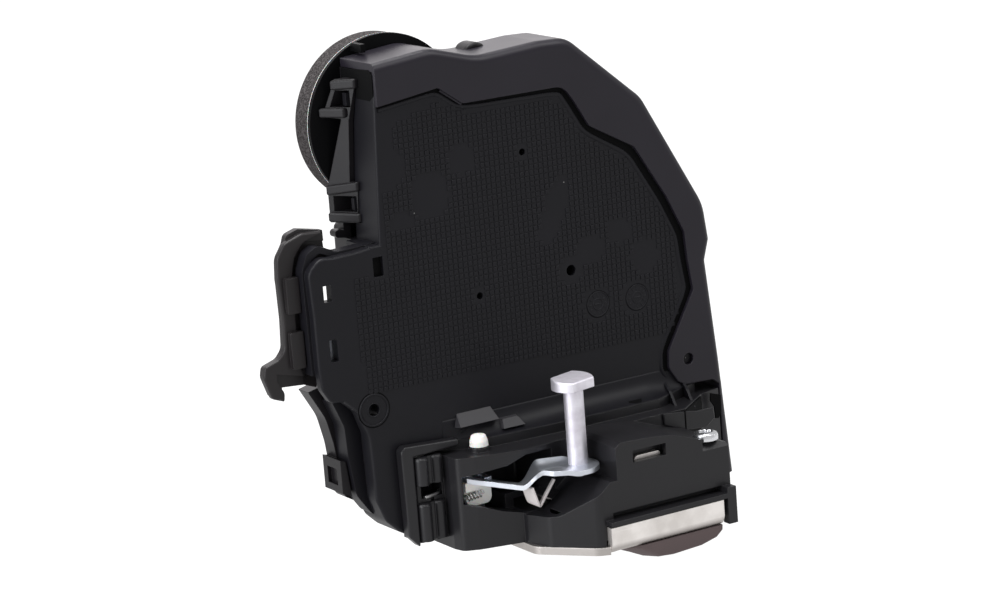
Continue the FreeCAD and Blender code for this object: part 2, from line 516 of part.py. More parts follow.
def latch_body():
    """Moulded latch housing: claw chamber below, lever chamber above, scooped for the outside lever."""
    body = new_body("latch_body")
    front = -S.latch_front
    full = [
        (-57, S.latch_back), (-57, 7.5), (-56.2, 7.5), (-56.2, -2.5, 1.2), (-46.4, -2.5), (-46.4, -6),
        (-45.5, -10, 2.5), (-41, -12.2), (-26, -16, 6), (-17, -16, 4), (-9, -14.5, 5), (-6.2, -21),
        (-6.6, front), (34.5, front), (34.5, -15), (49, -3.5, 3), (57.3, -1.4), (57.3, S.latch_back),
    ]
    pad(body, "XY_Plane", [full], S.plate, S.latch_top)
    cut(body, "XZ_Plane", [[(-59, 1), (-43, 1), (-59, 13)]], 7.5, 21.0)
    pad(body, "XY_Plane", [[(-6.6, front), (34.5, front), (34.5, -15), (-6.2, -15), (-6.2, -21)]], S.latch_top - 1, 33.6)
    slope = [(-8, 40), (-8, 32.0), (-6.6, 32.2), (-4.8, 33.5, 2), (5, 33.1, 40), (15, 31.9, 20), (25.5, 28.0, 20), (36, 25),
             (36, 40)]
    cut(body, "XZ_Plane", [slope], front - 1, -14.0)
    low_front = [(-27, -12), (-27, -17.5, 3), (-24.5, -26, 4), (-13.5, front, 4), (2, front), (2, -12)]
    pad(body, "XY_Plane", [low_front], S.plate, 22.0)
    cut(body, "XZ_Plane", [[(-30, 11), (-22, 12.2, 4), (-8.6, 22.4), (-7.0, 22.8), (-7.0, 40), (-30, 40)]],
        front - 1, -16.6)
    pad(body, "XY_Plane", [("circle", S.knob_x, S.knob_y, 3.3)], 30.4, 32.8)
    pad(body, "XY_Plane", [[(-45, 2), (-30, -6), (-2, -8), (30, -8), (50, 1), (50, 12), (-45, 12)]], 30.0, S.case_foot)
    # frame round the steel flange
    pad(body, "XZ_Plane", [box_outline(-11.5, 8.9, 34.4, 10.4)], -41.0, front + 1)
    pad(body, "XZ_Plane", [box_outline(31.2, 0.6, 34.4, 12.2)], -41.0, front)
    cut(body, "XZ_Plane", [box_outline(-9, 10.4, 31.2, 12.3)], front, front + 3)
    cut(body, "XY_Plane", [box_outline(-12, front, 31, -36.2)], S.plate, 4.2)
    # claw chamber and striker channel
    chamber = [(-25.5, 17.4, 2), (-25.5, -14, 4), (-22, -18, 3), (-14.5, -21, 4), (-12, -29.5, 3), (27, -29.5, 4),
               (31.5, -24, 4), (31.5, 17.4, 2)]
    cut(body, "XY_Plane", [chamber], S.plate, S.roof)
    half = S.slot_wide / 2
    cut(body, "XY_Plane", [box_outline(S.striker_x - half, 10, S.striker_x + half, 21)], S.plate, 11.5)
    cut(body, "XY_Plane", [("circle", x, y, 4.6) for x, y in MOUNT_HOLES], S.plate, 13.0)
    # slot in the front wall and the well behind it for the back plate's tab
    cut(body, "XY_Plane", [box_outline(-0.9, -36, 11.9, -29)], 12.6, S.roof)
    cut(body, "XY_Plane", [box_outline(-0.9, -36, 11.9, -34)], S.roof, 30.6)
    cut(body, "XZ_Plane", [box_outline(-0.6, 26.4, 11.6, 30.1)], front - 1, -35.9)
    # lever chambers and the window in the front wall
    cut(body, "XY_Plane", [box_outline(-44.7, -8.8, -28.5, 12.0, 1)], 8.0, 28.5)
    cut(body, "XY_Plane", [box_outline(-30, -12.6, -15.5, 6.0, 1)], 16.4, 29.8)
    window = [(-44.7, 25.6), (-44.7, 17.0), (-38, 15), (-33, 13.2), (-27, 11.8), (-20.5, 12.3, 3), (-15.5, 16, 2),
              (-15.5, 29.8), (-25, 29.8), (-31, 27.2)]
    cut(body, "XZ_Plane", [window], -19.0, -8.0)
    # split column left of the lever, with its open slot
    cut(body, "XZ_Plane", [box_outline(-51.4, 2.0, -50.2, 33.0)], -3.0, -1.6)
    cut(body, "XZ_Plane", [box_outline(-54.6, 19.4, -47.2, 23.6)], -3.0, 4.0)
    cut(body, "XZ_Plane", [box_outline(-58, 2.0, -46.4, 5.6)], -3.0, 7.5)
    # lock shaft bore, and the lever pivot's seat
    cut(body, "XY_Plane", [("circle", S.knob_x, S.knob_y, 2.0 + S.running)], 28.0, 33.0)
    cut(body, "XZ_Plane", [("circle", S.lever_x, S.lever_z, 2.0)], 11.0, 16.0)
    # screw seat in the front right corner
    cut(body, "XY_Plane", [[(25.0, front - 1), (25.0, -29.8, 4.05), (35.0, -29.8), (35.0, front - 1)]],
        26.9, 34.0)
    cut(body, "YZ_Plane", [[(front - 1, 24.0), (front, 24.5), (-34.6, 27.1), (front - 1, 27.1)]], 25.0, 35.0)
    cut(body, "XY_Plane", [("circle", 29.1, -33.9, 1.6)], 14.0, 27.0)
    return body


def base_plate():
    """Pressed steel plate with the striker slot, three tapped collars and a turned-up front flange."""
    body = new_body("base_plate")
    face = -S.plate_front
    outline = [(-27.6, S.latch_back), (-27.6, -22, 5), (-15, face + 3, 5), (-11.5, face + 1.2), (-11.5, -37)]
    outline += [(30, -37), (33, -34, 2), (33, S.latch_back)]
    pad(body, "XY_Plane", [outline], 0.0, S.plate)
    flange = [(-36, 0), (face, 0, 4.0), (face, S.flange_tall), (face + S.plate, S.flange_tall)]
    flange += [(face + S.plate, S.plate, 1.6), (-36, S.plate)]
    pad(body, "YZ_Plane", [flange], -11.5, 30.0)
    pad(body, "XY_Plane", [("circle", x, y, 4.3) for x, y in MOUNT_HOLES], S.plate - 0.5, S.collar)
    cut(body, "XY_Plane", [("circle", x, y, S.thread_r) for x, y in MOUNT_HOLES], -1.0, 6.0)
    half = S.slot_wide / 2
    x0, x1 = S.striker_x - half, S.striker_x + half
    slot = [(x0, 25), (x0, -12, 6.4), (x1, -12, 6.4), (x1, 25)]
    cut(body, "XY_Plane", [slot], -1.0, 3.0)
    for x, y in ((S.claw_x, S.claw_y), (S.pawl_x, S.pawl_y)):
        cut(body, "XY_Plane", [("circle", x, y, S.rivet_r - 1.0)], -1.0, 3.0)
    # shallow seat for the rubber pad along the front
    cut(body, "XY_Plane", [box_outline(-9, -50, 32, -28.6)], -1.0, 0.6)
    return body


MOUNT_HOLES = [(-22.0, 13.5), (26.5, 13.5), (-17.5, -24.5)]


def back_plate():
    """Steel plate over the claw and pawl, with a tab that stands up behind the slot in the front wall."""
    body = new_body("back_plate")
    low = S.roof - S.back_thick
    outline = [(-16, 14, 3), (-16, -10, 3), (-9, -28, 4), (26, -28, 4), (30, -23, 4), (30, 14, 3)]
    pad(body, "XY_Plane", [outline], low, S.roof)
    pad(body, "XY_Plane", [box_outline(1.3, -35.7, 10.9, -27)], low, S.roof)
    pad(body, "XZ_Plane", [[(1.3, low), (10.9, low), (10.9, 27.6, 1.0), (1.3, 27.6, 1.6)]], -35.7, -34.1)
    for x, y in ((S.claw_x, S.claw_y), (S.pawl_x, S.pawl_y)):
        cut(body, "XY_Plane", [("circle", x, y, S.rivet_r - 1.0)], low - 1, S.roof + 1)
    return body


def pivot_rivet(label, x, y):
    """Shouldered steel rivet: thin ends in the two plates and a full-size bearing between them."""
    body = new_body(label, (x, y, 0))
    thin = S.rivet_r - 1.0
    low = S.roof - S.back_thick
    revolve(body, [(0, 0), (thin, 0), (thin, S.plate), (S.rivet_r, S.plate), (S.rivet_r, low), (thin, low),
                   (thin, S.roof), (0, S.roof)])
    return body


def claw():
    """Forked claw, drawn in its open position about its pivot."""
    body = new_body("claw", (S.claw_x, S.claw_y, 0))
    top = S.claw_low + S.claw_thick
    pad(body, "XY_Plane", [("circle", 0, 0, S.claw_r), ("circle", 0, 0, S.rivet_r + S.running)], S.claw_low, top)
    turn = math.radians(number(S.claw_open))

    def turned(points):
        out = []
        for point in points:
            x, y = number(point[0]), number(point[1])
            moved = (x * math.cos(turn) - y * math.sin(turn), x * math.sin(turn) + y * math.cos(turn))
            out.append(moved + tuple(point[2:]))
        return out

    half = S.jaw / 2
    cut(body, "XY_Plane", [turned([(9, -half, 4.6), (9, half, 4.6), (25, half + 2.5), (25, -half - 1)])],
        S.claw_low, top)
    # rim trimmed behind the short leg, and the two ratchet notches that the pawl drops into
    cut(body, "XY_Plane", [turned([(2, 25), (7.5, 12.6, 2), (14.5, 9.5, 1), (25, 12), (25, 25)])], S.claw_low, top)
    cut(body, "XY_Plane", [turned([(-20, 25), (-11, 8, 6), (-14, -8, 6), (-25, -12), (-30, 25)])], S.claw_low, top)
    cut(body, "XY_Plane", [turned([(4.2, -14.0, 0.6), (4.9, -20), (12, -20), (10.2, -14.2, 1.5)])], S.claw_low, top)
    return body


def claw_cover():
    """Plastic over-moulding that deadens the claw: a thin cap on the steel with the same jaw."""
    body = new_body("claw_cover", (S.claw_x, S.claw_y, 0))
    low = S.claw_low + S.claw_thick
    pad(body, "XY_Plane", [("circle", 0, 0, S.claw_r - 1.5), ("circle", 0, 0, S.rivet_r + 0.4)], low, low + 1.4)
    turn = math.radians(number(S.claw_open))
    half = number(S.jaw) / 2 + 0.4
    corners = []
    for x, y, radius in ((8.6, -half, 4.4), (8.6, half, 4.4), (25, half + 2.5, None), (25, -half - 1, None)):
        moved = (x * math.cos(turn) - y * math.sin(turn), x * math.sin(turn) + y * math.cos(turn))
        corners.append(moved + ((radius,) if radius else ()))
    cut(body, "XY_Plane", [corners], low, low + 1.4)
    return body


def pawl():
    """Pawl that rides on the claw's rim and drops into its notches."""
    body = new_body("pawl", (S.pawl_x, S.pawl_y, 0))
    top = S.claw_low + S.claw_thick
    outline = [(-20.6, 0.2, 0.8), (-20.2, -3.8, 1.2), (-12, -5.4, 3), (-4, -6.2, 6), (6, -6, 5.5), (6.2, 6.2, 5.5),
               (-3, 6, 4), (-9, 1.2, 4), (-14, -0.6, 3)]
    pad(body, "XY_Plane", [outline], S.claw_low, top)
    cut(body, "XY_Plane", [("circle", 0, 0, S.rivet_r + S.running)], S.claw_low, top)
    return body


def coil(label, x, y, low, high, radius, wire):
    """Torsion spring on a pivot, kept as a closed sleeve of its outer size."""
    body = new_body(label, (x, y, 0))
    outline = [("circle", 0, 0, radius), ("circle", 0, 0, radius - wire)]
    pad(body, "XY_Plane", outline, low, high)
    return body


def striker_bumper():
    """Rubber block under the back plate that the striker meets at the end of its travel."""
    body = new_body("striker_bumper")
    x = S.striker_x
    pad(body, "XY_Plane", [box_outline(x - 5.5, -14.0, x + 5.5, -8.8, 1.0)], 10.0, S.roof - S.back_thick)
    return body


def striker_pad():
    """Rubber pad seated under the plate's front edge, bowed downwards and fuller to the right."""
    body = new_body("striker_pad")
    bow = [(-7.6, 0.6), (-7.6, 0.0), (0, -2.6, 14), (12, -5.2, 20), (23, -5.4, 6), (29.4, 0.0), (29.4, 0.6)]
    pad(body, "XZ_Plane", [bow], -39.2, -29.0)
    return body


def outside_lever():
    """Bent steel lever that the outside handle lifts by its stud."""
    body = new_body("outside_lever")
    t = S.lever_thick
    profile = [
        (-42.8, 23.55), (-30.4, 20.4, 3), (-25.6, 24.5, 3), (-6, 24.9), (-6, 24.9 + t), (-26.2, 24.5 + t, 3),
        (-30.6, 20.5 + t + 0.1, 3), (-42.8, 23.55 + t),
    ]
    pad(body, "XZ_Plane", [profile], -35.0, -4.0)
    plan = [
        (-42.8, -4.2), (-42.8, -8.4), (-38, -12.2), (-31.5, -19.5, 4), (-26.8, -24, 4), (-26, -31, 4), (-19, -34.6, 6),
        (-10.2, -33.5, 6), (-7.4, -27, 6), (-9.3, -19.6, 5), (-20.5, -17.4, 4), (-27, -13, 4), (-31, -10.5, 3),
        (-33, -4.2),
    ]
    outside = [(-60, -50), (20, -50), (20, 10), (-60, 10)]
    cut(body, "XY_Plane", [outside, plan], 15.0, 30.0)
    # ear round the pivot, and the folded tab under the bend
    ear = [(S.lever_x - 4.8, 24.4), (S.lever_x - 4.8, 15.2, 4), (S.lever_x + 5.2, 15.2, 4), (S.lever_x + 5.2, 22.6)]
    pad(body, "XZ_Plane", [ear], -4.4, -2.9)
    pad(body, "XZ_Plane", [[(-42.8, 23.0), (-32.6, 20.6), (-32.6, 22.2), (-42.8, 24.8)]], -4.4, -2.9)
    # finger that reaches back and lifts the open link
    pad(body, "XZ_Plane", [box_outline(-34.0, 20.9, -31.6, 22.4)], -6.0, 4.9)
    cut(body, "XZ_Plane", [("circle", S.lever_x, S.lever_z, 2.0 + S.running)], -5.0, -2.0)
    fold = [(-29.4, 21.6), (-23.6, 13.4, 1.5), (-21.8, 13.4, 1.5), (-18.2, 18.2), (-19.3, 18.8), (-22.2, 14.8, 0.6),
            (-23.2, 14.8, 0.6), (-28.0, 22.6)]
    pad(body, "XZ_Plane", [fold], -18.6, -13.4)
    cut(body, "XY_Plane", [("circle", S.stud_x, S.stud_y, 2.2)], 24.0, 28.0)
    return body


def outside_lever_stud():
    """Zinc stud riveted in the lever's flange, with a flat-sided round head."""
    body = new_body("outside_lever_stud", (S.stud_x, S.stud_y, 0))
    seat = 24.9 + S.lever_thick
    neck = S.stud_top - 3.9
    revolve(body, [(0, 24.6), (2.2, 24.6), (2.2, seat), (S.stud_r, seat), (S.stud_r, neck), (0, neck)])
    pad(body, "XY_Plane", [("circle", 0, 0, 6.5)], neck, S.stud_top)
    # two flats, turned a little from the lever's axis, and a top face that leans towards the front
    turn = math.radians(13)
    for side in (-1, 1):
        corners = [(-8, 4.7), (8, 4.7), (8, 9), (-8, 9)]
        flat = [(side * (x * math.cos(turn) - y * math.sin(turn)), side * (x * math.sin(turn) + y * math.cos(turn)))
                for x, y in corners]
        cut(body, "XY_Plane", [flat], neck, S.stud_top)
    cut(body, "YZ_Plane", [[(-9, 52.6), (6.5, 54.0), (6.5, 56), (-9, 56)]], -8.0, 8.0)
    round_edges(body, 0.5, lambda e: middle_of(e).z > 52.7 and e.Length > 3)
    return body


def lever_bush():
    """Nylon bush in the lever's ear, slotted for the spring's leg."""
    body = new_body("lever_bush")
    x, z = S.lever_x, S.lever_z
    bush = [(x - 4.4, z - 3.7, 2.2), (x + 4.6, z - 3.7, 2.2), (x + 4.6, 20.8, 0.8), (x - 4.4, 23.2, 0.8)]
    pad(body, "XZ_Plane", [bush], -8.4, -4.4)
    cut(body, "XZ_Plane", [box_outline(x - 5, z - 1.3, x - 1.0, z + 0.9, 0.3)], -9.0, -7.2)
    cut(body, "XZ_Plane", [("circle", x, z, 2.0 + S.running)], -6.9, -4.0)
    return body


def lever_pivot():
    """Steel pin that the outside lever turns on, pressed into the housing."""
    body = new_body("lever_pivot")
    pad(body, "XZ_Plane", [("circle", S.lever_x, S.lever_z, 2.0)], -6.6, 16.0)
    return body


def lever_spring():
    """Return spring of the outside lever: its coils round the pivot."""
    body = new_body("lever_spring")
    x, z = S.lever_x, S.lever_z
    pad(body, "XZ_Plane", [("circle", x, z, 4.2), ("circle", x, z, 3.0)], -2.6, 2.4)
    return body


def open_link():
    """Sliding link behind the lever; the lever's finger lifts it and so passes the pull on to the pawl."""
    body = new_body("open_link")
    x, z = S.lever_x, S.lever_z
    finger_window = box_outline(-35.4, 20.0, -31.0, 22.8, 0.3)
    pivot_slot = box_outline(x - 2.3, z - 4.0, x + 2.3, z + 2.3, 2.2)
    pad(body, "XZ_Plane", [box_outline(-42.6, 10.0, -29.4, 24.6, 1.0), finger_window, pivot_slot], 3.0, 4.6)
    return body


def lock_shaft():
    """Lock lever on its vertical shaft, inside the lever chamber."""
    body = new_body("lock_shaft", (S.knob_x, S.knob_y, 0))
    pad(body, "XY_Plane", [("circle", 0, 0, 2.0)], 26.2, 33.0)
    pad(body, "XY_Plane", [[(-2.6, 0), (-2.0, 11.6, 1.9), (2.0, 11.6, 1.9), (2.6, 0), (1.6, -1.6), (-1.6, -1.6)]],
        26.2, 28.0)
    return body


def lock_knob():
    """White nylon cap on the lock shaft's upper end."""
    body = new_body("lock_knob", (S.knob_x, S.knob_y, 0))
    revolve(body, [(0, 33.0), (2.9, 33.0), (2.8, 34.6, 1), (2.2, 36.4, 0.8), (0, 36.8)])
    return body


def inside_lever():
    """Lever behind the lobe that the inside handle's cable pulls."""
    body = new_body("inside_lever", (S.inside_x, 0, S.inside_z))
    outline = [(-4.6, 2, 3), (-4.2, -3.4, 3), (-5.2, -6.0, 2), (-3.2, -8.4, 2), (2.6, -5.6, 3), (5.2, 1, 4), (4.6, 8, 3),
               (-1.5, 9, 3)]
    pad(body, "XZ_Plane", [outline, ("circle", 0, 0, 2.0 + S.running)], 3.6, 6.2)
    return body


def motor_can():
    """Flat-sided can of the lock motor, lying along X above the worm wheel."""
    body = new_body("motor_can", (0, S.motor_y, S.motor_z))
    pad(body, "YZ_Plane", [("circle", 0, 0, 10.0)], 5.5, 30.0)
    cut(body, "YZ_Plane", [box_outline(-12, -12, -7.7, 12), box_outline(7.7, -12, 12, 12)], 5.5, 30.0)
    pad(body, "YZ_Plane", [("circle", 0, 0, 3.0)], 30.0, 31.6)
    cut(body, "YZ_Plane", [("circle", 0, 0, S.worm_journal + S.running)], 5.5, 10.5)
    return body


def worm():
    """Worm on the motor's shaft: a right-handed thread whose pitch is that of the wheel's teeth."""
    body = new_body("worm", (S.wheel_x, S.motor_y, S.motor_z))
    pad(body, "YZ_Plane", [("circle", 0, 0, 3.2)], -10.0, 10.0)
    pad(body, "YZ_Plane", [("circle", 0, 0, S.worm_journal)], -12.5, 18.0)
    pitch = S.worm_pitch
    start = -3 * number(pitch)
    ridge = [(start - 0.5, -3.1), (start - 0.22, -4.6), (start + 0.22, -4.6), (start + 0.5, -3.1)]
    sketch = new_sketch(body, "XZ_Plane", [ridge])
    thread = body.newObject("PartDesign::AdditiveHelix", "worm_thread")
    thread.Profile = sketch
    thread.ReferenceAxis = (next(f for f in body.Origin.OriginFeatures if f.Role == "X_Axis"), [""])
    thread.Mode = "pitch-height-angle"
    thread.setExpression("Pitch", pitch.text)
    thread.setExpression("Height", (pitch * 6).text)
    thread.Angle = 0
    thread.LeftHanded = False
    doc.recompute([sketch, thread, body])
    return body


def worm_wheel():
    """Worm wheel that swings the lock crank."""
    body = new_body("worm_wheel", (S.wheel_x, S.motor_y, S.wheel_z))
    pad(body, "XZ_Plane", [("circle", 0, 0, S.wheel_r), ("circle", 0, 0, 2.0 + S.running)], -2.5, 2.5)
    gap = [(-0.86, 13.2), (-0.52, 11.5), (0.52, 11.5), (0.86, 13.2)]
    first = cut(body, "XZ_Plane", [gap], -2.5, 2.5)
    pattern = body.newObject("PartDesign::PolarPattern", "wheel_teeth")
    pattern.Originals = [first]
    pattern.Axis = (next(f for f in body.Origin.OriginFeatures if f.Role == "Y_Axis"), [""])
    pattern.Angle = 360
    pattern.Occurrences = 36
    body.Tip = pattern
    doc.recompute()
    return body


def lock_crank():
    """Crank on the face of the worm wheel that drives the lock lever."""
    body = new_body("lock_crank", (S.wheel_x, S.motor_y, S.wheel_z))
    outline = [(-4.4, 3, 3), (4.4, 3, 3), (4.2, -6, 4), (2.2, -17, 2), (-2.2, -17, 2), (-4.2, -6, 4)]
    pad(body, "XZ_Plane", [outline, ("circle", 0, 0, 2.0 + S.running)], 2.5, 5.0)
    return body


def wheel_axle():
    """Steel axle of the worm wheel, held between the case halves."""
    body = new_body("wheel_axle")
    pad(body, "XZ_Plane", [("circle", S.wheel_x, S.wheel_z, 2.0)], S.wall, S.cover_deep - S.wall)
    return body


def position_switch():
    """Sealed micro switch that reports the lock's position."""
    body = new_body("position_switch")
    pad(body, "XZ_Plane", [box_outline(-44, 80, -26, 91)], 5.0, 12.0)
    pad(body, "XZ_Plane", [box_outline(-26, 84, -24.4, 87)], 7.5, 9.5)
    return body


def screw(x, y, z, direction, head_r, head_tall, shank_r, shank_long):
    """Pan-head screw from the underside of its head: direction points from the shank to the head."""
    shank = Part.makeCylinder(shank_r, shank_long, FreeCAD.Vector(x, y, z) - direction * shank_long, direction)
    head = Part.makeCylinder(head_r, head_tall, FreeCAD.Vector(x, y, z), direction)
    rim = [e for e in head.Edges if abs((middle_of(e) - FreeCAD.Vector(x, y, z)).dot(direction) - head_tall) < 1e-4]
    head = head.makeFillet(head_tall * 0.45, rim)
    return head.fuse(shank)


def case_screws():
    """Screws that hold the two case halves together, driven from the inboard side."""
    seat = number(S.cover_deep)
    inboard = FreeCAD.Vector(0, 1, 0)
    shapes = [screw(x, seat, z, inboard, 3.2, 2.2, 1.3, 18.0) for x, z in SCREW_SPOTS]
    feature = doc.addObject("Part::Feature", "case_screws")
    feature.Shape = Part.makeCompound(shapes)
    return feature


def latch_screw():
    """Zinc screw in the front right corner of the latch housing."""
    feature = doc.addObject("Part::Feature", "latch_screw")
    feature.Shape = screw(29.1, -33.9, 26.9, FreeCAD.Vector(0, 0, 1), 3.9, 2.4, 1.5, 11.0)
    return feature


PIECES = [
    actuator_case(), weather_shield(), case_cover(), connector_housing(), connector_seal(), connector_terminals(),
    cable_cover(), latch_body(), base_plate(), back_plate(),
    pivot_rivet("claw_pin", S.claw_x, S.claw_y), pivot_rivet("pawl_pin", S.pawl_x, S.pawl_y),
    claw(), claw_cover(), pawl(),
    coil("claw_spring", S.claw_x, S.claw_y, 9.8, 12.4, 6.0, 1.2),
    coil("pawl_spring", S.pawl_x, S.pawl_y, 8.6, 12.2, 6.0, 1.2),
    striker_bumper(), striker_pad(), outside_lever(), outside_lever_stud(), lever_bush(), lever_pivot(),
    lever_spring(), open_link(), lock_shaft(), lock_knob(), inside_lever(), motor_can(), worm(), worm_wheel(),
    lock_crank(), wheel_axle(), position_switch(), case_screws(), latch_screw(),
]

doc.recompute()
os.makedirs("parts", exist_ok=True)
for obj in doc.Objects:
    if "Invalid" in obj.State or "Error" in obj.State:
        raise RuntimeError(f"{obj.Label} failed: {obj.State}")
for piece in PIECES:
    if piece.Shape.isNull() or not piece.Shape.isValid():
        raise RuntimeError(f"{piece.Label} has no valid shape")
for piece in PIECES:
    piece.Shape.exportStep(f"parts/{piece.Label}.step")
    box = piece.Shape.BoundBox
    print(f"{piece.Label:20s} {piece.Shape.Volume:10.1f} mm3  X {box.XMin:6.1f} {box.XMax:6.1f}"
          f"  Y {box.YMin:6.1f} {box.YMax:6.1f}  Z {box.ZMin:6.1f} {box.ZMax:6.1f}  solids {len(piece.Shape.Solids)}")
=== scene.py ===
"""A car door latch with its lock actuator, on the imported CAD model: Z up from
the shut face, Y to the back."""
import json
import math

import bmesh
import bpy
import numpy as np
from mathutils import Matrix, Vector

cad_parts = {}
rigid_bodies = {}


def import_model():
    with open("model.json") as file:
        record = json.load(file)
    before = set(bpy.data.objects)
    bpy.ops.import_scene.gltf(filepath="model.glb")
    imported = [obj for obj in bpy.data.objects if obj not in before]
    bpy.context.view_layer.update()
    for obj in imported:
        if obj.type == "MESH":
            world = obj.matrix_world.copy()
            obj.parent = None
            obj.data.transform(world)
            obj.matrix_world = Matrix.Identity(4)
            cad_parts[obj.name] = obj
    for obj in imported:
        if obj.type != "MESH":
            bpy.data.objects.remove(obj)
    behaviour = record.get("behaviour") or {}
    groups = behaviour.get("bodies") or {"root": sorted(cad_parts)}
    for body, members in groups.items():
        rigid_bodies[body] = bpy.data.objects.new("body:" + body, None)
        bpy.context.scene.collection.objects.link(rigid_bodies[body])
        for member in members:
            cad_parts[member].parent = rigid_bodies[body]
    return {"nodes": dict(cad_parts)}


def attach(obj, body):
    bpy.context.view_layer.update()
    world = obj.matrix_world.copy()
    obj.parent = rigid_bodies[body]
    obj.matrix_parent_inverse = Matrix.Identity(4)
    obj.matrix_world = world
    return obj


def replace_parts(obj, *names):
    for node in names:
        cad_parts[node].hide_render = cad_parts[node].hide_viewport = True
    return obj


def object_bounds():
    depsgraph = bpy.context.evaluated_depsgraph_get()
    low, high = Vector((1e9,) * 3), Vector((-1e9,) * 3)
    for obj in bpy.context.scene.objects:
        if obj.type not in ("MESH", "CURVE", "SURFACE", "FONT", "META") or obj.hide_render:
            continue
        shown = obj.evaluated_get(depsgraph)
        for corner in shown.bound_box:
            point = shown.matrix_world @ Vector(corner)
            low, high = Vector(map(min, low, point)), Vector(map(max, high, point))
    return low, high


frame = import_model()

cad_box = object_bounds()
for spare in [o for o in bpy.data.objects if o.name == "Cube"]:
    bpy.data.objects.remove(spare)

# ---------------------------------------------------------------- outboard half of the case
# The large shell that the motor and wheels sit in, injection moulded in black glass-filled nylon.
# Its face carries a waffle of low square pads that stiffens the wall, two date dials of the mould,
# and screw bosses. The shared plastic finish and the mesh helpers are set up here, where first needed.
MM = 0.001


def add(tree, kind, values=(), **settings):
    """One shader node with its settings; each value is a plain number or colour,
    or the socket that feeds it."""
    node = tree.nodes.new("ShaderNode" + kind)
    for key, setting in settings.items():
        setattr(node, key, setting)
    for socket, value in values:
        if isinstance(value, bpy.types.NodeSocket):
            tree.links.new(value, node.inputs[socket])
        else:
            node.inputs[socket].default_value = value
    return node


def effect(name, inputs, outputs):
    """An empty shader group with number inputs and the outputs that are named, and its two end nodes."""
    tree = bpy.data.node_groups.new(name, "ShaderNodeTree")
    for label, value in inputs:
        tree.interface.new_socket(label, in_out="INPUT", socket_type="NodeSocketFloat").default_value = value
    for label, kind in outputs:
        tree.interface.new_socket(label, in_out="OUTPUT", socket_type="NodeSocket" + kind)
    return tree, tree.nodes.new("NodeGroupInput"), tree.nodes.new("NodeGroupOutput")


def edge_effect():
    """Softened edges: the rounded normal, and how far it leans from the flat one as a mask of worn edges."""
    tree, given, result = effect("soft edges", [("Radius", 0.00025)],
                                 [("Normal", "Vector"), ("Edge", "Float")])
    soft = add(tree, "Bevel", [("Radius", given.outputs["Radius"])], samples=4)
    flat = add(tree, "NewGeometry")
    lean = add(tree, "VectorMath", [(0, soft.outputs["Normal"]), (1, flat.outputs["Normal"])],
               operation="DOT_PRODUCT")
    mask = add(tree, "MapRange", [("Value", lean.outputs["Value"]), ("From Min", 0.995), ("From Max", 0.86)])
    tree.links.new(soft.outputs["Normal"], result.inputs["Normal"])
    tree.links.new(mask.outputs["Result"], result.inputs["Edge"])
    return tree


def skin_effect():
    """Skin of a moulding: a fine spark-eroded grain, a slow cloud of flow marks, and a few flecks of dust."""
    tree, given, result = effect(
        "mould skin", [("Grain", 2600.0), ("Cloud", 38.0), ("Flecks", 150.0)],
        [("Height", "Float"), ("Cloud", "Float"), ("Dust", "Float")])
    place = add(tree, "TexCoord").outputs["Object"]
    grain = add(tree, "TexNoise", [("Vector", place), ("Scale", given.outputs["Grain"]), ("Detail", 2.0)])
    cloud = add(tree, "TexNoise", [("Vector", place), ("Scale", given.outputs["Cloud"]), ("Detail", 4.0)])
    fleck = add(tree, "TexVoronoi", [("Vector", place), ("Scale", given.outputs["Flecks"])])
    bright = add(tree, "MapRange", [("Value", fleck.outputs["Distance"]), ("From Min", 0.034),
                                    ("From Max", 0.022)])
    keep = add(tree, "SeparateColor", [("Color", fleck.outputs["Color"])])
    chosen = add(tree, "Math", [(0, keep.outputs["Red"]), (1, 0.82)], operation="GREATER_THAN")
    dust = add(tree, "Math", [(0, bright.outputs["Result"]), (1, chosen.outputs["Value"])],
               operation="MULTIPLY")
    for source, label in ((grain.outputs["Fac"], "Height"), (cloud.outputs["Fac"], "Cloud"),
                          (dust.outputs["Value"], "Dust")):
        tree.links.new(source, result.inputs[label])
    return tree


EDGES = edge_effect()
SKIN = skin_effect()


def mixed(tree, amount, first, second):
    """A colour that goes from the first to the second as the amount goes from 0 to 1."""
    node = add(tree, "Mix", data_type="RGBA")
    for socket, value in (("Factor_Float", amount), ("A_Color", first), ("B_Color", second)):
        target = next(s for s in node.inputs if s.identifier == socket)
        if isinstance(value, bpy.types.NodeSocket):
            tree.links.new(value, target)
        else:
            target.default_value = value if isinstance(value, float) else (*value, 1.0)
    return next(s for s in node.outputs if s.identifier == "Result_Color")


def scaled(tree, value, low, high):
    """A number that goes from low to high as the value goes from 0 to 1."""
    return add(tree, "MapRange", [("Value", value), ("To Min", low), ("To Max", high)]).outputs["Result"]


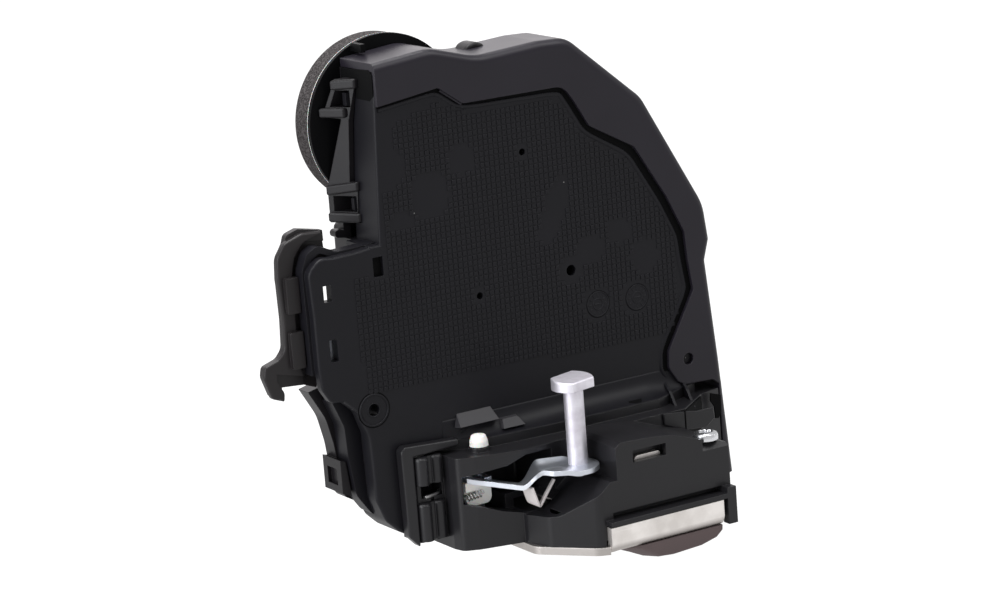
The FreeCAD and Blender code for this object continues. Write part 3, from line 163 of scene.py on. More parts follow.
def moulding(name, colour, rough=0.42, grain=0.12, scale=2600.0, worn=0.5, radius=0.25, flecks=150.0,
             gloss=0.34, scatter=0.0):
    """A moulded plastic: cloudy colour, edges rubbed lighter, a fine grain in
    the gloss, and a little dust."""
    material = bpy.data.materials.new(name)
    material.use_nodes = True
    tree = material.node_tree
    shader = tree.nodes["Principled BSDF"]
    edge = add(tree, "Group", node_tree=EDGES)
    edge.inputs["Radius"].default_value = radius * MM
    skin = add(tree, "Group", node_tree=SKIN)
    skin.inputs["Grain"].default_value = scale
    skin.inputs["Flecks"].default_value = flecks
    lighter = tuple(min(1.0, c * 1.7 + 0.012) for c in colour)
    cloudy = mixed(tree, skin.outputs["Cloud"], tuple(c * 0.75 for c in colour),
                   tuple(c * 1.3 for c in colour))
    rubbed = add(tree, "Math", [(0, edge.outputs["Edge"]), (1, worn)], operation="MULTIPLY").outputs["Value"]
    rubbed = mixed(tree, rubbed, cloudy, lighter)
    dusty = add(tree, "Math", [(0, skin.outputs["Dust"]), (1, 0.5)], operation="MULTIPLY").outputs["Value"]
    tree.links.new(mixed(tree, dusty, rubbed, (0.42, 0.41, 0.40)), shader.inputs["Base Color"])
    tree.links.new(scaled(tree, skin.outputs["Cloud"], rough - 0.07, rough + 0.07),
                   shader.inputs["Roughness"])
    bump = add(tree, "Bump", [("Strength", grain), ("Distance", 0.05 * MM),
                              ("Height", skin.outputs["Height"]), ("Normal", edge.outputs["Normal"])])
    tree.links.new(bump.outputs["Normal"], shader.inputs["Normal"])
    shader.inputs["Specular IOR Level"].default_value = gloss
    shader.inputs["Subsurface Weight"].default_value = scatter
    shader.inputs["Subsurface Scale"].default_value = 0.001
    return material


def dress(node, material):
    """Puts a material on every slot of a CAD node's object."""
    for place in frame["nodes"][node].material_slots:
        place.material = material


def grid_faces(rows, columns, wrap_rows=False, wrap_columns=False):
    """Four-sided faces of a grid of corners: each joins (i, j), (i, j+1), (i+1, j+1) and (i+1, j)."""
    i, j = np.meshgrid(np.arange(rows if wrap_rows else rows - 1),
                       np.arange(columns if wrap_columns else columns - 1), indexing="ij")
    down, across = (i + 1) % rows, (j + 1) % columns
    corners = (i * columns + j, i * columns + across, down * columns + across, down * columns + j)
    return np.stack(corners, axis=-1).reshape(-1, 4)


def piece(name, corners, faces, material, slot, body="housing", smooth=False):
    """A mesh object from arrays of corners in millimetres and faces; it takes the
    material as its finish and rides on a body. The slot is not used."""
    mesh = bpy.data.meshes.new(name)
    mesh.from_pydata((np.asarray(corners, float) * MM).tolist(), [], [list(map(int, f)) for f in faces])
    shape = bmesh.new()
    shape.from_mesh(mesh)
    bmesh.ops.remove_doubles(shape, verts=shape.verts, dist=1e-7)
    bmesh.ops.recalc_face_normals(shape, faces=shape.faces)
    shape.to_mesh(mesh)
    shape.free()
    mesh.polygons.foreach_set("use_smooth", np.full(len(mesh.polygons), smooth))
    if smooth:
        mesh.set_sharp_from_angle(angle=math.radians(38))
    made = bpy.data.objects.new(name, mesh)
    bpy.context.collection.objects.link(made)
    made.data.materials.append(material)
    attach(made, body)
    return made


def inside(points, outline):
    """True for each (x, z) inside a closed outline: a ray from it crosses the
    outline's sides an odd number of times."""
    x, z = points[..., 0], points[..., 1]
    result = np.zeros(x.shape, bool)
    for (x0, z0), (x1, z1) in zip(outline, outline[1:] + outline[:1]):
        crosses = (z0 > z) != (z1 > z)
        result ^= crosses & (x < (x1 - x0) * (z - z0) / (z1 - z0 if z1 != z0 else 1.0) + x0)
    return result


def near(points, spots):
    """True for each (x, z) that lies within a spot: (x, z, half width, half height, turn in degrees)."""
    result = np.zeros(points.shape[:-1], bool)
    for x, z, wide, tall, turn in spots:
        c, s = math.cos(math.radians(turn)), math.sin(math.radians(turn))
        along = (points[..., 0] - x) * c + (points[..., 1] - z) * s
        up = (points[..., 1] - z) * c - (points[..., 0] - x) * s
        result |= (along / wide) ** 2 + (up / tall) ** 2 < 1.0
    return result


CASE_BLACK = moulding("case_black", (0.0062, 0.0060, 0.0080), rough=0.42, gloss=0.17)
dress("actuator_case", CASE_BLACK)

WAFFLE_PITCH = 1.72
WAFFLE_OUTLINE = [(-68.0, 54.6), (41.6, 52.6), (43.2, 54.0), (46.0, 63.0), (44.6, 84.0), (38.8, 95.4),
                  (29.2, 110.4), (14.4, 119.6), (9.0, 128.6), (5.8, 132.4), (-27.2, 134.2), (-37.2, 138.4),
                  (-52.6, 134.0), (-57.4, 113.6), (-58.4, 97.0), (-58.6, 88.4), (-64.2, 88.4), (-64.6, 91.0),
                  (-70.0, 90.2), (-69.8, 69.0)]
WAFFLE_WINDOW = [(-64.4, 88.3), (-58.6, 88.3), (-58.6, 96.7), (-64.4, 96.7)]
WAFFLE_PLAIN = [(-41.7, 111.0, 6.8, 7.4, 20), (2.0, 98.9, 4.2, 11.5, -24), (-29.6, 119.7, 5.0, 4.6, 0),
                (-57.0, 121.4, 8.0, 7.0, 10), (13.6, 84.2, 5.4, 4.8, 0), (25.2, 88.5, 4.6, 4.2, 0),
                (6.2, 79.1, 4.4, 4.4, 0), (15.2, 66.7, 5.4, 5.4, 0), (29.8, 66.2, 5.4, 5.4, 0),
                (-8.3, 118.7, 2.4, 2.4, 0), (-27.1, 77.2, 2.4, 2.4, 0), (34.0, 79.0, 5.2, 5.6, 30),
                (-52.0, 104.4, 4.6, 2.6, 0)]
# faces of a block whose corners 0 to 3 go round its foot and 4 to 7 round its top
BLOCK_FACES = [(4, 5, 6, 7), (0, 1, 5, 4), (1, 2, 6, 5), (2, 3, 7, 6), (3, 0, 4, 7), (0, 3, 2, 1)]


def waffle_pads(low, high, gap, slant):
    """Square pads on a square pitch inside the outline: each is a frustum of
    five faces, narrower at the top."""
    columns = np.arange(-71.0, 47.0, WAFFLE_PITCH)
    rows = np.arange(53.4, 140.0, WAFFLE_PITCH)
    centres = np.stack(np.meshgrid(columns, rows), axis=-1).reshape(-1, 2)
    kept = inside(centres, WAFFLE_OUTLINE) & ~near(centres, WAFFLE_PLAIN)
    kept &= ~inside(centres, WAFFLE_WINDOW)
    centres = centres[kept]
    wide = (WAFFLE_PITCH - gap) / 2
    square = np.array([(-1, -1), (1, -1), (1, 1), (-1, 1)], float)
    ground = centres[:, None, :] + square * wide
    top = centres[:, None, :] + square * (wide - slant)
    flat = np.concatenate([ground, top], axis=1)
    depth = np.repeat([[-low] * 4 + [-high] * 4], len(centres), axis=0)
    corners = np.stack([flat[..., 0], depth, flat[..., 1]], axis=-1).reshape(-1, 3)
    return corners, (np.array(BLOCK_FACES)[None] + 8 * np.arange(len(centres))[:, None, None]).reshape(-1, 4)


piece("waffle_pads", *waffle_pads(-0.05, 0.22, 0.36, 0.07), CASE_BLACK, "case_black")


def ring(x, z, radius, width, tall):
    """A low rounded ring on the face: a half-round profile of that width and height turned about (x, z)."""
    round_half = np.linspace(0, math.pi, 7)
    turn = np.linspace(0, 2 * math.pi, 48, endpoint=False)
    away = radius + width / 2 * np.cos(round_half)
    out = -tall * np.sin(round_half) + 0 * turn[:, None]
    corners = np.stack([x + away[None] * np.cos(turn)[:, None], out, z + away[None] * np.sin(turn)[:, None]],
                       axis=-1)
    return corners.reshape(-1, 3), grid_faces(len(turn), len(round_half), wrap_rows=True)


def joined(*shapes):
    """Several (corners, faces) shapes as one."""
    corners, faces, start = [], [], 0
    for points, sides in shapes:
        corners.append(np.asarray(points, float))
        faces += [[int(k) + start for k in side] for side in sides]
        start += len(points)
    return np.concatenate(corners), faces


def bar(start, end, width, tall):
    """A low rib on the face between two (x, z) points: a half-round profile
    carried along, closed at its ends."""
    a, b = np.array(start, float), np.array(end, float)
    along = (b - a) / np.linalg.norm(b - a)
    across = np.array([-along[1], along[0]])
    arc = np.linspace(0, math.pi, 7)
    flat = np.stack([a, b])[:, None, :] + (width / 2 * np.cos(arc))[None, :, None] * across
    corners = np.stack([flat[..., 0], np.broadcast_to(-tall * np.sin(arc), (2, 7)), flat[..., 1]], axis=-1)
    faces = [list(f) for f in grid_faces(2, 7)] + [list(range(7)), list(range(13, 6, -1))]
    return corners.reshape(-1, 3), faces


def date_dial(x, z, radius):
    """A mould date dial: two low rings, spokes between them, and an arrow across the middle."""
    shapes = [ring(x, z, radius, 0.45, 0.16), ring(x, z, radius * 0.45, 0.4, 0.16)]
    for step in range(12):
        c, s = math.cos(step * math.pi / 6), math.sin(step * math.pi / 6)
        inner, outer = [(x + c * radius * share, z + s * radius * share) for share in (0.62, 0.86)]
        shapes.append(bar(inner, outer, 0.42, 0.14))
    shapes.append(bar((x - radius * 0.3, z), (x + radius * 0.3, z), 0.5, 0.16))
    return joined(*shapes)


piece("date_dial_left", *date_dial(15.2, 66.7, 3.9), CASE_BLACK, "case_black", smooth=True)
piece("date_dial_right", *date_dial(29.8, 66.2, 3.9), CASE_BLACK, "case_black", smooth=True)
piece("boss_ring", *joined(ring(-67.0, 49.4, 4.8, 0.7, 0.4), ring(-67.0, 49.4, 2.1, 0.4, 0.2)), CASE_BLACK,
      "case_black", smooth=True)


def cove(left, right, top, foot, reach):
    """The case's face rolled out over the latch: a quarter ellipse from the face's
    line down to the ledge's edge."""
    x = np.linspace(left, right, 64)
    t = np.linspace(0, math.pi / 2, 12)
    front = np.interp(x, *np.array(reach).T)
    y = -0.02 - front[:, None] * (1 - np.cos(t))[None]
    z = foot + (top - foot) * (1 - np.sin(t))[None] + 0 * x[:, None]
    corners = np.stack([x[:, None] + 0 * y, y, z], axis=-1)
    under = np.stack([x, 0 * x + 0.6, 0 * x + foot - 0.4], axis=-1)[:, None, :]
    corners = np.concatenate([corners, under], axis=1).reshape(-1, 3)
    return corners, grid_faces(len(x), len(t) + 1, wrap_columns=True)


LEDGE_REACH = [(-44.0, 0.6), (-41.0, 0.6), (-30.0, 6.0), (-2.0, 8.0), (30.0, 8.0), (46.0, 0.9), (49.0, 0.2)]
piece("case_cove", *cove(-44.0, 49.0, 41.2, 34.5, LEDGE_REACH), CASE_BLACK, "case_black", smooth=True)


def wedge(left, right, low, high, y_low, y_high):
    """A raised pad with a leaning top: thick along its lower edge, running out
    into the face at its upper one."""
    taper = 1.2
    corners = np.array([(left, 0.3, low), (right, 0.3, low), (right - taper, 0.3, high),
                        (left + taper, 0.3, high), (left + 0.5, -y_low, low + 0.5),
                        (right - 0.5, -y_low, low + 0.5), (right - taper - 0.4, -y_high, high - 0.3),
                        (left + taper + 0.4, -y_high, high - 0.3)])
    return corners, BLOCK_FACES


# The pads take a lighter, glossier copy of the case's black: painted light on their leaning tops.
PAD_BLACK_PAINTED_LIGHT = moulding("pad_black_painted_light", (0.024, 0.023, 0.026), rough=0.45, gloss=0.3)
piece("case_pad_left", *wedge(-39.8, -25.0, 38.2, 42.6, 3.2, 0.1), PAD_BLACK_PAINTED_LIGHT, "case_black")
piece("case_pad_right", *wedge(-25.4, -16.8, 35.2, 38.4, 4.8, 2.2), PAD_BLACK_PAINTED_LIGHT, "case_black")

# A near-black finish for thin slabs set in grooves, slots, pits, voids and channels: painted shade where
# those openings fall dark.
PAINTED_SHADE = moulding("painted_shade_black", (0.0016, 0.0016, 0.0018), rough=0.75, grain=0.1, gloss=0.08, worn=0.0)


def slab(outline, low, high, plane="xz"):
    """A flat plate: an outline in the face's plane (x, z), or in a side wall's (y, z), between two depths."""
    flat = np.array(outline, float)
    layers = []
    for depth in (low, high):
        level = np.full(len(flat), float(depth))
        order = (flat[:, 0], level, flat[:, 1]) if plane == "xz" else (level, flat[:, 0], flat[:, 1])
        layers.append(np.stack(order, axis=-1))
    count = len(flat)
    sides = [(k, (k + 1) % count, (k + 1) % count + count, k + count) for k in range(count)]
    return np.concatenate(layers), [list(range(count)), list(range(2 * count - 1, count - 1, -1))] + sides


def box(x0, y0, z0, x1, y1, z1):
    """A block between two corners, as the outline of its front carried back."""
    return slab([(x0, z0), (x1, z0), (x1, z1), (x0, z1)], y0, y1)


def rounded(made, width):
    """Rounds every sharp edge of a piece by a bevel of that width in millimetres."""
    bevel = made.modifiers.new("rounding", "BEVEL")
    bevel.width = width * MM
    bevel.segments = 3
    bevel.limit_method = "ANGLE"
    bevel.angle_limit = math.radians(30)
    made.data.polygons.foreach_set("use_smooth", np.ones(len(made.data.polygons), bool))
    bevel.harden_normals = True
    return made


# Dark rings round the boss and the date dials: painted shade standing for their grooves.
piece("boss_groove", *joined(ring(-67.0, 49.4, 5.3, 0.45, 0.05), ring(15.2, 66.7, 4.2, 0.3, 0.05),
                             ring(29.8, 66.2, 4.2, 0.3, 0.05)), PAINTED_SHADE, "case_black", smooth=True)
# Thin near-black slabs in the ledge's slot, the face's window and the side's void: painted shade.
ledge_slot = np.array([(20.7, -4.7, 35.1), (25.7, -4.9, 35.1), (23.4, -8.1, 34.3), (19.4, -8.1, 34.0)])
piece("ledge_slot_dark", np.concatenate([ledge_slot, ledge_slot + (0.0, 0.5, -0.1)]), BLOCK_FACES, PAINTED_SHADE,
      "case_black")
piece("face_window_dark", *box(-63.1, 1.3, 89.6, -59.8, 1.5, 95.4), PAINTED_SHADE, "case_black")
piece("side_void_dark",
      *slab([(0.4, 143.4), (0.1, 149.6), (2.2, 151.2), (18.6, 150.2), (18.6, 147.0), (11.6, 146.6),
             (9.4, 138.6), (5.4, 139.4)], -58.2, -57.5, "yz"), PAINTED_SHADE, "case_black")
piece("split_rib", *slab([(13.4, 104.4), (13.4, 147.0), (14.2, 147.0), (14.2, 104.4)], -58.5, -57.6, "yz"),
      CASE_BLACK, "case_black")


def fin(x, lean, top, reach, foot, thick):
    """An upright gusset: a plate from the face out over the ledge, its upper
    edge sloping down to the front."""
    side = np.array([(0.0, foot), (0.0, top), (-reach * 0.45, top - 2.4), (-reach, foot + 0.2),
                     (-reach, foot)])
    centre = x + lean * side[:, 0]
    near_side = np.stack([centre - thick / 2, side[:, 0], side[:, 1]], axis=-1)
    far_side = near_side + (thick, 0, 0)
    faces = [(0, 1, 2, 3, 4), (9, 8, 7, 6, 5)] + [(k, (k + 1) % 5, (k + 1) % 5 + 5, k + 5) for k in range(5)]
    return np.concatenate([near_side, far_side]), faces


piece("gusset_left", *fin(37.8, 0.25, 37.6, 11.0, 30.0, 0.9), CASE_BLACK, "case_black")
piece("gusset_right", *fin(44.6, 0.25, 36.8, 9.6, 29.6, 0.9), CASE_BLACK, "case_black")

# ---------------------------------------------------------------- weather shield
# A soft-edged cap moulded in talc-filled polypropylene that keeps rain off the joint. Its edge stands proud
# of the case, and a band of painted shade with a low bead on the panel's side stands for the narrow channel
# along it.
SHIELD_BLACK = moulding("shield_black", (0.0115, 0.0098, 0.0145), rough=0.34, grain=0.16, scale=2200.0,
                        radius=0.6, gloss=0.24)
dress("weather_shield", SHIELD_BLACK)

SHIELD_EDGE = np.array([(44.6, 35.2), (42.3, 36.7), (39.2, 41.5), (39.6, 47.0), (50.3, 65.0), (48.9, 75.0),
                        (48.3, 84.0), (42.4, 96.5), (31.7, 114.0), (15.8, 123.0), (10.9, 131.5), (7.2, 136.8),
                        (-28.6, 137.0), (-36.8, 143.0), (-57.6, 140.5)])
CHANNEL_WIDE = np.array([1.2, 1.4, 1.6, 1.7, 1.7, 1.9, 2.3, 2.4, 2.2, 1.7, 1.7, 1.4, 0.9, 0.9, 0.8])


def smoothed(points, pull=0.22):
    """A path with its corners eased: every corner becomes a short quadratic curve
    between points on its two sides."""
    points = np.asarray(points, float)
    path = [points[:1]]
    for a, b, c in zip(points[:-2], points[1:-1], points[2:]):
        start, end = b + (a - b) * pull, b + (c - b) * pull
        t = np.linspace(0, 1, 8)[:, None]
        path.append((1 - t) ** 2 * start + 2 * t * (1 - t) * b + t ** 2 * end)
    return np.concatenate(path + [points[-1:]])


def ribbon(path, start, end, profile):
    """A profile carried along a path on the face: across is the path's left side,
    between start and end from it."""
    step = np.gradient(path[:, :2], axis=0)
    left = np.stack([-step[:, 1], step[:, 0]], axis=-1) / np.linalg.norm(step, axis=1)[:, None]
    share, out = np.array(profile).T
    away = start[:, None] + (end - start)[:, None] * share[None]
    flat = path[:, None, :2] + left[:, None, :] * away[..., None]
    corners = np.stack([flat[..., 0], np.broadcast_to(-out, away.shape), flat[..., 1]], axis=-1)
    return corners.reshape(-1, 3), grid_faces(len(path), len(profile), wrap_columns=True)


channel = smoothed(np.column_stack([SHIELD_EDGE, CHANNEL_WIDE]))
wide = channel[:, 2]
# A near-black band just inside the shield's edge: painted shade standing for the channel's shadow.
piece("shield_channel", *ribbon(channel, 0 * wide - 0.2, wide, [(0, -0.2), (0, 0.05), (1, 0.05), (1, -0.2)]),
      PAINTED_SHADE, "shield_black")
bead = [(0.0, -0.2), (0.0, 0.2), (0.15, 0.42), (0.4, 0.5), (0.7, 0.36), (1.0, 0.0), (1.0, -0.2)]
piece("channel_bead", *ribbon(channel, wide, wide + 1.3, bead), CASE_BLACK, "case_black", smooth=True)
piece("shield_tongue", *ribbon(np.array([(-36.6, 141.0), (-33.0, 138.4), (-29.4, 135.7)]), np.full(3, 0.9),
                               np.full(3, 1.7), [(0, -0.2), (0, 0.5), (0.5, 0.7), (1, 0.5), (1, -0.2)]),
      SHIELD_BLACK, "shield_black")

# ---------------------------------------------------------------- inboard cover and its screws
# The flat inner shell of the case, moulded in the same black nylon, with snap clips on its flared left
# side. Thread-forming screws with a six-lobed recess, driven from the inboard side, hold it to the other
# half.
COVER_BLACK = moulding("cover_black", (0.0072, 0.0064, 0.0076), rough=0.38, gloss=0.22)
dress("case_cover", COVER_BLACK)


def scratch_effect():
    """Handling marks on metal: a fine tumbled texture, slow blotches of the plating,
    and short crossing scratches."""
    tree, given, result = effect(
        "tumbled metal", [("Grain", 3000.0), ("Blotch", 90.0), ("Scratch", 60.0)],
        [("Height", "Float"), ("Blotch", "Float"), ("Scratch", "Float")])
    place = add(tree, "TexCoord").outputs["Object"]
    grain = add(tree, "TexNoise", [("Vector", place), ("Scale", given.outputs["Grain"]), ("Detail", 2.0)])
    blotch = add(tree, "TexNoise", [("Vector", place), ("Scale", given.outputs["Blotch"]), ("Detail", 5.0)])
    lines = []
    for turn in (0.5, 2.1):
        stretched = add(tree, "Mapping", [("Vector", place)])
        stretched.inputs["Rotation"].default_value = (turn, turn * 0.6, turn)
        stretched.inputs["Scale"].default_value = (1.0, 14.0, 14.0)
        noise = add(tree, "TexNoise",
                    [("Vector", stretched.outputs["Vector"]), ("Scale", given.outputs["Scratch"]),
                     ("Detail", 3.0)])
        lines.append(add(tree, "MapRange", [("Value", noise.outputs["Fac"]), ("From Min", 0.66),
                                            ("From Max", 0.74)]))
    both = add(tree, "Math", [(0, lines[0].outputs["Result"]), (1, lines[1].outputs["Result"])],
               operation="MAXIMUM")
    for source, label in ((grain.outputs["Fac"], "Height"), (blotch.outputs["Fac"], "Blotch"),
                          (both.outputs["Value"], "Scratch")):
        tree.links.new(source, result.inputs[label])
    return tree


TUMBLED = scratch_effect()


def metalwork(name, bright, dull, rough=0.32, grain=0.15, scale=3000.0, blotch=90.0, radius=0.15,
              metallic=1.0, spread=0.10):
    """Bare or plated metal: blotches between a bright and a dull tone, polished edges,
    a tumbled grain and scratches."""
    material = bpy.data.materials.new(name)
    material.use_nodes = True
    tree = material.node_tree
    shader = tree.nodes["Principled BSDF"]
    edge = add(tree, "Group", node_tree=EDGES)
    edge.inputs["Radius"].default_value = radius * MM
    marks = add(tree, "Group", node_tree=TUMBLED)
    marks.inputs["Grain"].default_value = scale
    marks.inputs["Blotch"].default_value = blotch
    share = add(tree, "MapRange", [("Value", marks.outputs["Blotch"]), ("From Min", 0.35),
                                   ("From Max", 0.68)])
    tone = mixed(tree, share.outputs["Result"], bright, dull)
    scratched = add(tree, "Math", [(0, marks.outputs["Scratch"]), (1, 0.35)],
                    operation="MULTIPLY").outputs["Value"]
    polished = tuple(min(1.0, c * 1.12 + 0.04) for c in bright)
    tone = mixed(tree, scratched, tone, polished)
    tree.links.new(mixed(tree, scaled(tree, edge.outputs["Edge"], 0.0, 0.7), tone, polished),
                   shader.inputs["Base Color"])
    tree.links.new(scaled(tree, marks.outputs["Blotch"], rough - spread, rough + spread),
                   shader.inputs["Roughness"])
    bump = add(tree, "Bump", [("Strength", grain), ("Distance", 0.03 * MM),
                              ("Height", marks.outputs["Height"]), ("Normal", edge.outputs["Normal"])])
    tree.links.new(bump.outputs["Normal"], shader.inputs["Normal"])
    shader.inputs["Metallic"].default_value = metallic
    return material


SCREW_ZINC = metalwork("screw_zinc", (0.80, 0.80, 0.82), (0.62, 0.63, 0.66), rough=0.24)


def turned(profile, axis, turns=32, lobes=None):
    """A profile of (radius, height) turned about an axis: origin, direction and a first sideways direction.

    lobes is (ring, share): from that ring on the radius wavers six times by that share: a six-lobed recess.
    """
    origin, along, first = (np.array(v, float) for v in axis)
    second = np.cross(along, first)
    angle = np.linspace(0, 2 * math.pi, turns, endpoint=False)
    radius, height = np.array(profile, float).T
    radius = radius[:, None] + 0 * angle[None]
    if lobes:
        radius[lobes[0]:] *= 1 + lobes[1] * np.cos(6 * angle)
    around = np.cos(angle)[None, :, None] * first + np.sin(angle)[None, :, None] * second
    corners = origin + radius[..., None] * around + height[:, None, None] * along
    return corners.reshape(-1, 3), grid_faces(len(profile), turns, wrap_columns=True)


def screw_shape(place, along, first, head, tall, shank, deep):
    """A pan-head screw from the underside of its head: shank, domed head and a
    six-lobed recess in its top."""
    profile = [(0.001, -deep), (shank * 0.6, -deep), (shank, -deep + 1.2), (shank, 0), (head, 0),
               (head, tall * 0.5), (head * 0.93, tall * 0.8), (head * 0.74, tall * 0.97), (head * 0.62, tall),
               (head * 0.5, tall), (head * 0.48, tall * 0.97), (head * 0.44, tall * 0.45),
               (0.001, tall * 0.40)]
    return turned(profile, (place, along, first), turns=48, lobes=(9, 0.16))


def on_flare(y, z, out):
    """A point on the cover's flared side, which leans out from the split line to the flange."""
    return -57.8 - (y - 8.4) * 7.6 / 11.6 - out, y, z


def clip_bar(start, end, tall, out):
    """A bar of a snap clip lying on the flare between two points (y, z): so tall, standing so far out."""
    spots = [(y, z + lift) for y, z in (start, end) for lift in (-tall / 2, tall / 2)]
    corners = [on_flare(y, z, far) for far in (-0.2, out) for y, z in spots]
    return np.array(corners), [(0, 1, 3, 2), (4, 6, 7, 5), (0, 2, 6, 4), (1, 5, 7, 3), (0, 4, 5, 1),
                               (2, 3, 7, 6)]


CLIPS = [("clip_upper_top", (8.8, 146.6), (15.8, 146.0)), ("clip_upper_foot", (12.4, 137.7), (19.6, 137.6)),
         ("clip_lower_top", (10.4, 115.4), (19.4, 113.9)), ("clip_lower_foot", (10.4, 105.6), (19.4, 105.8))]
for name, start, end in CLIPS:
    rounded(piece(name, *clip_bar(start, end, 3.0, 1.5), COVER_BLACK, "cover_black"), 0.6)

SCREW_SPOTS = [(47.5, 62), (24, 121), (-11.5, 141.5), (-54, 102.5), (-56, 44), (20, 42)]
SCREW_SEAT = 27.0
heads = [screw_shape((x, SCREW_SEAT, z), (0, 1, 0), (1, 0, 0), 3.2, 2.2, 1.3, 18.0) for x, z in SCREW_SPOTS]
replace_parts(piece("case_screw_set", *joined(*heads), SCREW_ZINC, "screw_zinc", smooth=True), "case_screws")

hump = [(-19.4, 149.7), (-17.5, 151.9), (-14.9, 152.6), (-12.1, 151.5), (-9.4, 148.2)]
rounded(piece("cover_hump", *slab(hump, 11.5, 18.5), COVER_BLACK, "cover_black"), 1.2)

# ---------------------------------------------------------------- connector: flange, foam seal and terminals
# The round flange passes through the door's inner panel. A ring of closed-cell foam is bonded behind it
# with a pale film of adhesive that shows at the rim; tinned blades stand in the socket.
# The housing's near-black, low-gloss finish is its black plastic and partly painted shade: it is darkened
# further for the dark inside of the flange.
CONNECTOR_BLACK_AND_SHADE = moulding("connector_black", (0.0022, 0.0022, 0.0026), rough=0.5, gloss=0.08, worn=0.25)
dress("connector_housing", CONNECTOR_BLACK_AND_SHADE)


def foam_material():
    """Closed-cell foam: small cells of uneven size, dark in their middles, with
    brown-grey walls between them."""
    material = bpy.data.materials.new("foam")
    material.use_nodes = True
    tree = material.node_tree
    shader = tree.nodes["Principled BSDF"]
    place = add(tree, "TexCoord").outputs["Object"]
    cells = add(tree, "TexVoronoi", [("Vector", place), ("Scale", 1500.0), ("Randomness", 1.0)])
    cloud = add(tree, "TexNoise", [("Vector", place), ("Scale", 700.0), ("Detail", 3.0)])
    walls = add(tree, "MapRange", [("Value", cells.outputs["Distance"]), ("From Min", 0.2),
                                   ("From Max", 0.75)])
    wall_tone = mixed(tree, cloud.outputs["Fac"], (0.018, 0.015, 0.015), (0.092, 0.084, 0.085))
    tree.links.new(mixed(tree, walls.outputs["Result"], (0.012, 0.010, 0.010), wall_tone),
                   shader.inputs["Base Color"])
    bump = add(tree, "Bump",
               [("Strength", 0.9), ("Distance", 0.25 * MM), ("Height", walls.outputs["Result"])])
    tree.links.new(bump.outputs["Normal"], shader.inputs["Normal"])
    tree.links.new(scaled(tree, cloud.outputs["Fac"], 0.8, 1.0), shader.inputs["Roughness"])
    shader.inputs["Specular IOR Level"].default_value = 0.2
    return material


FOAM = foam_material()
dress("connector_seal", FOAM)
dress("connector_terminals", metalwork("tin", (0.78, 0.77, 0.74), (0.60, 0.59, 0.56), rough=0.28))

FLANGE_RADIUS = 26.4
FILM = moulding("adhesive_film", (0.62, 0.60, 0.58), rough=0.35, grain=0.05, scatter=0.2)
film = [(FLANGE_RADIUS - 0.9, 0.9), (FLANGE_RADIUS - 0.05, 1.0), (FLANGE_RADIUS - 0.01, 1.75),
        (FLANGE_RADIUS - 0.9, 1.8)]
flange_axis = ((-43.2, 20.0, 132.0), (0, 1, 0), (1, 0, 0))
film_corners, film_faces = turned(film + film[:1], flange_axis, turns=96)
piece("adhesive_ring", film_corners, film_faces, FILM, "foam", smooth=True)

# ---------------------------------------------------------------- cable cover
# A bent cover, moulded with its two clip tabs, that snaps over the lobe's rim and keeps the cable in its
# seat. A web closes its side, and a floor lies in the lobe behind it.
CABLE_BLACK = moulding("cable_black", (0.0115, 0.0098, 0.0105), rough=0.40, gloss=0.28, radius=0.35)
dress("cable_cover", CABLE_BLACK)

inner_path = smoothed(np.array([(-74.5, 102.4), (-79.6, 102.0), (-83.4, 100.4), (-86.0, 96.0), (-86.3, 80.0),
                                (-86.3, 66.0), (-84.6, 61.4), (-80.0, 59.6)]))
web = ribbon(inner_path, np.full(len(inner_path), -2.2), np.full(len(inner_path), 3.4),
             [(0, -10.6), (0, -9.4), (1, -9.4), (1, -10.6)])
piece("cable_cover_web", *web, CABLE_BLACK, "cable_black", smooth=True)
lobe_floor = [(-84.8, 76.0), (-84.8, 94.0), (-83.6, 98.0), (-81.2, 100.2), (-76.6, 100.3), (-72.0, 98.4),
              (-72.0, 93.0), (-79.6, 93.0), (-82.0, 90.0), (-82.0, 76.0)]
piece("lobe_floor", *slab(lobe_floor, 5.0, 6.2), CABLE_BLACK, "cable_black")

# ---------------------------------------------------------------- motor, worm, wheel and switch
# A small can motor turns a brass worm; the worm wheel and its crank are acetal, on a ground steel axle.
# A sealed micro switch reports where the lock stands. All of it lies between the case halves.
HARD_STEEL = metalwork("hard_steel", (0.56, 0.55, 0.54), (0.40, 0.40, 0.41), rough=0.28)
GEAR_WHITE = moulding("gear_white", (0.70, 0.69, 0.64), rough=0.38, worn=0.2, gloss=0.5, scatter=0.15)
dress("motor_can", metalwork("motor_steel", (0.66, 0.66, 0.68), (0.50, 0.51, 0.54), rough=0.22))
dress("worm", metalwork("worm_brass", (0.80, 0.62, 0.30), (0.62, 0.45, 0.20), rough=0.25))
dress("worm_wheel", GEAR_WHITE)
dress("lock_crank", GEAR_WHITE)
dress("wheel_axle", HARD_STEEL)
dress("position_switch", moulding("switch_black", (0.012, 0.012, 0.014), rough=0.3))

# ---------------------------------------------------------------- latch housing
# The block that takes the door's load, moulded round the steel parts in black plastic. Its front wall is
# scooped away for the outside lever, and a seat in its front right corner takes a screw.
LATCH_BLACK = moulding("latch_black", (0.0112, 0.0108, 0.0124), rough=0.34, grain=0.14, gloss=0.30,
                       radius=0.35)
dress("latch_body", LATCH_BLACK)
frame_left = [(-60.4, 8.6), (-56.6, 4.6), (-56.6, 33.0), (-40.6, 33.4), (-40.6, 35.6), (-59.4, 36.8),
              (-60.9, 35.4)]
rounded(piece("latch_frame_left", *slab(frame_left, -3.6, 0.3), LATCH_BLACK, "latch_black"), 0.7)


def tube_faces(rings, around):
    """Faces of a tube made of rings that each have the same number of corners,
    with a flat cap at both ends."""
    caps = [list(range(around)), list(range(rings * around - 1, (rings - 1) * around - 1, -1))]
    return [list(face) for face in grid_faces(rings, around, wrap_columns=True)] + caps


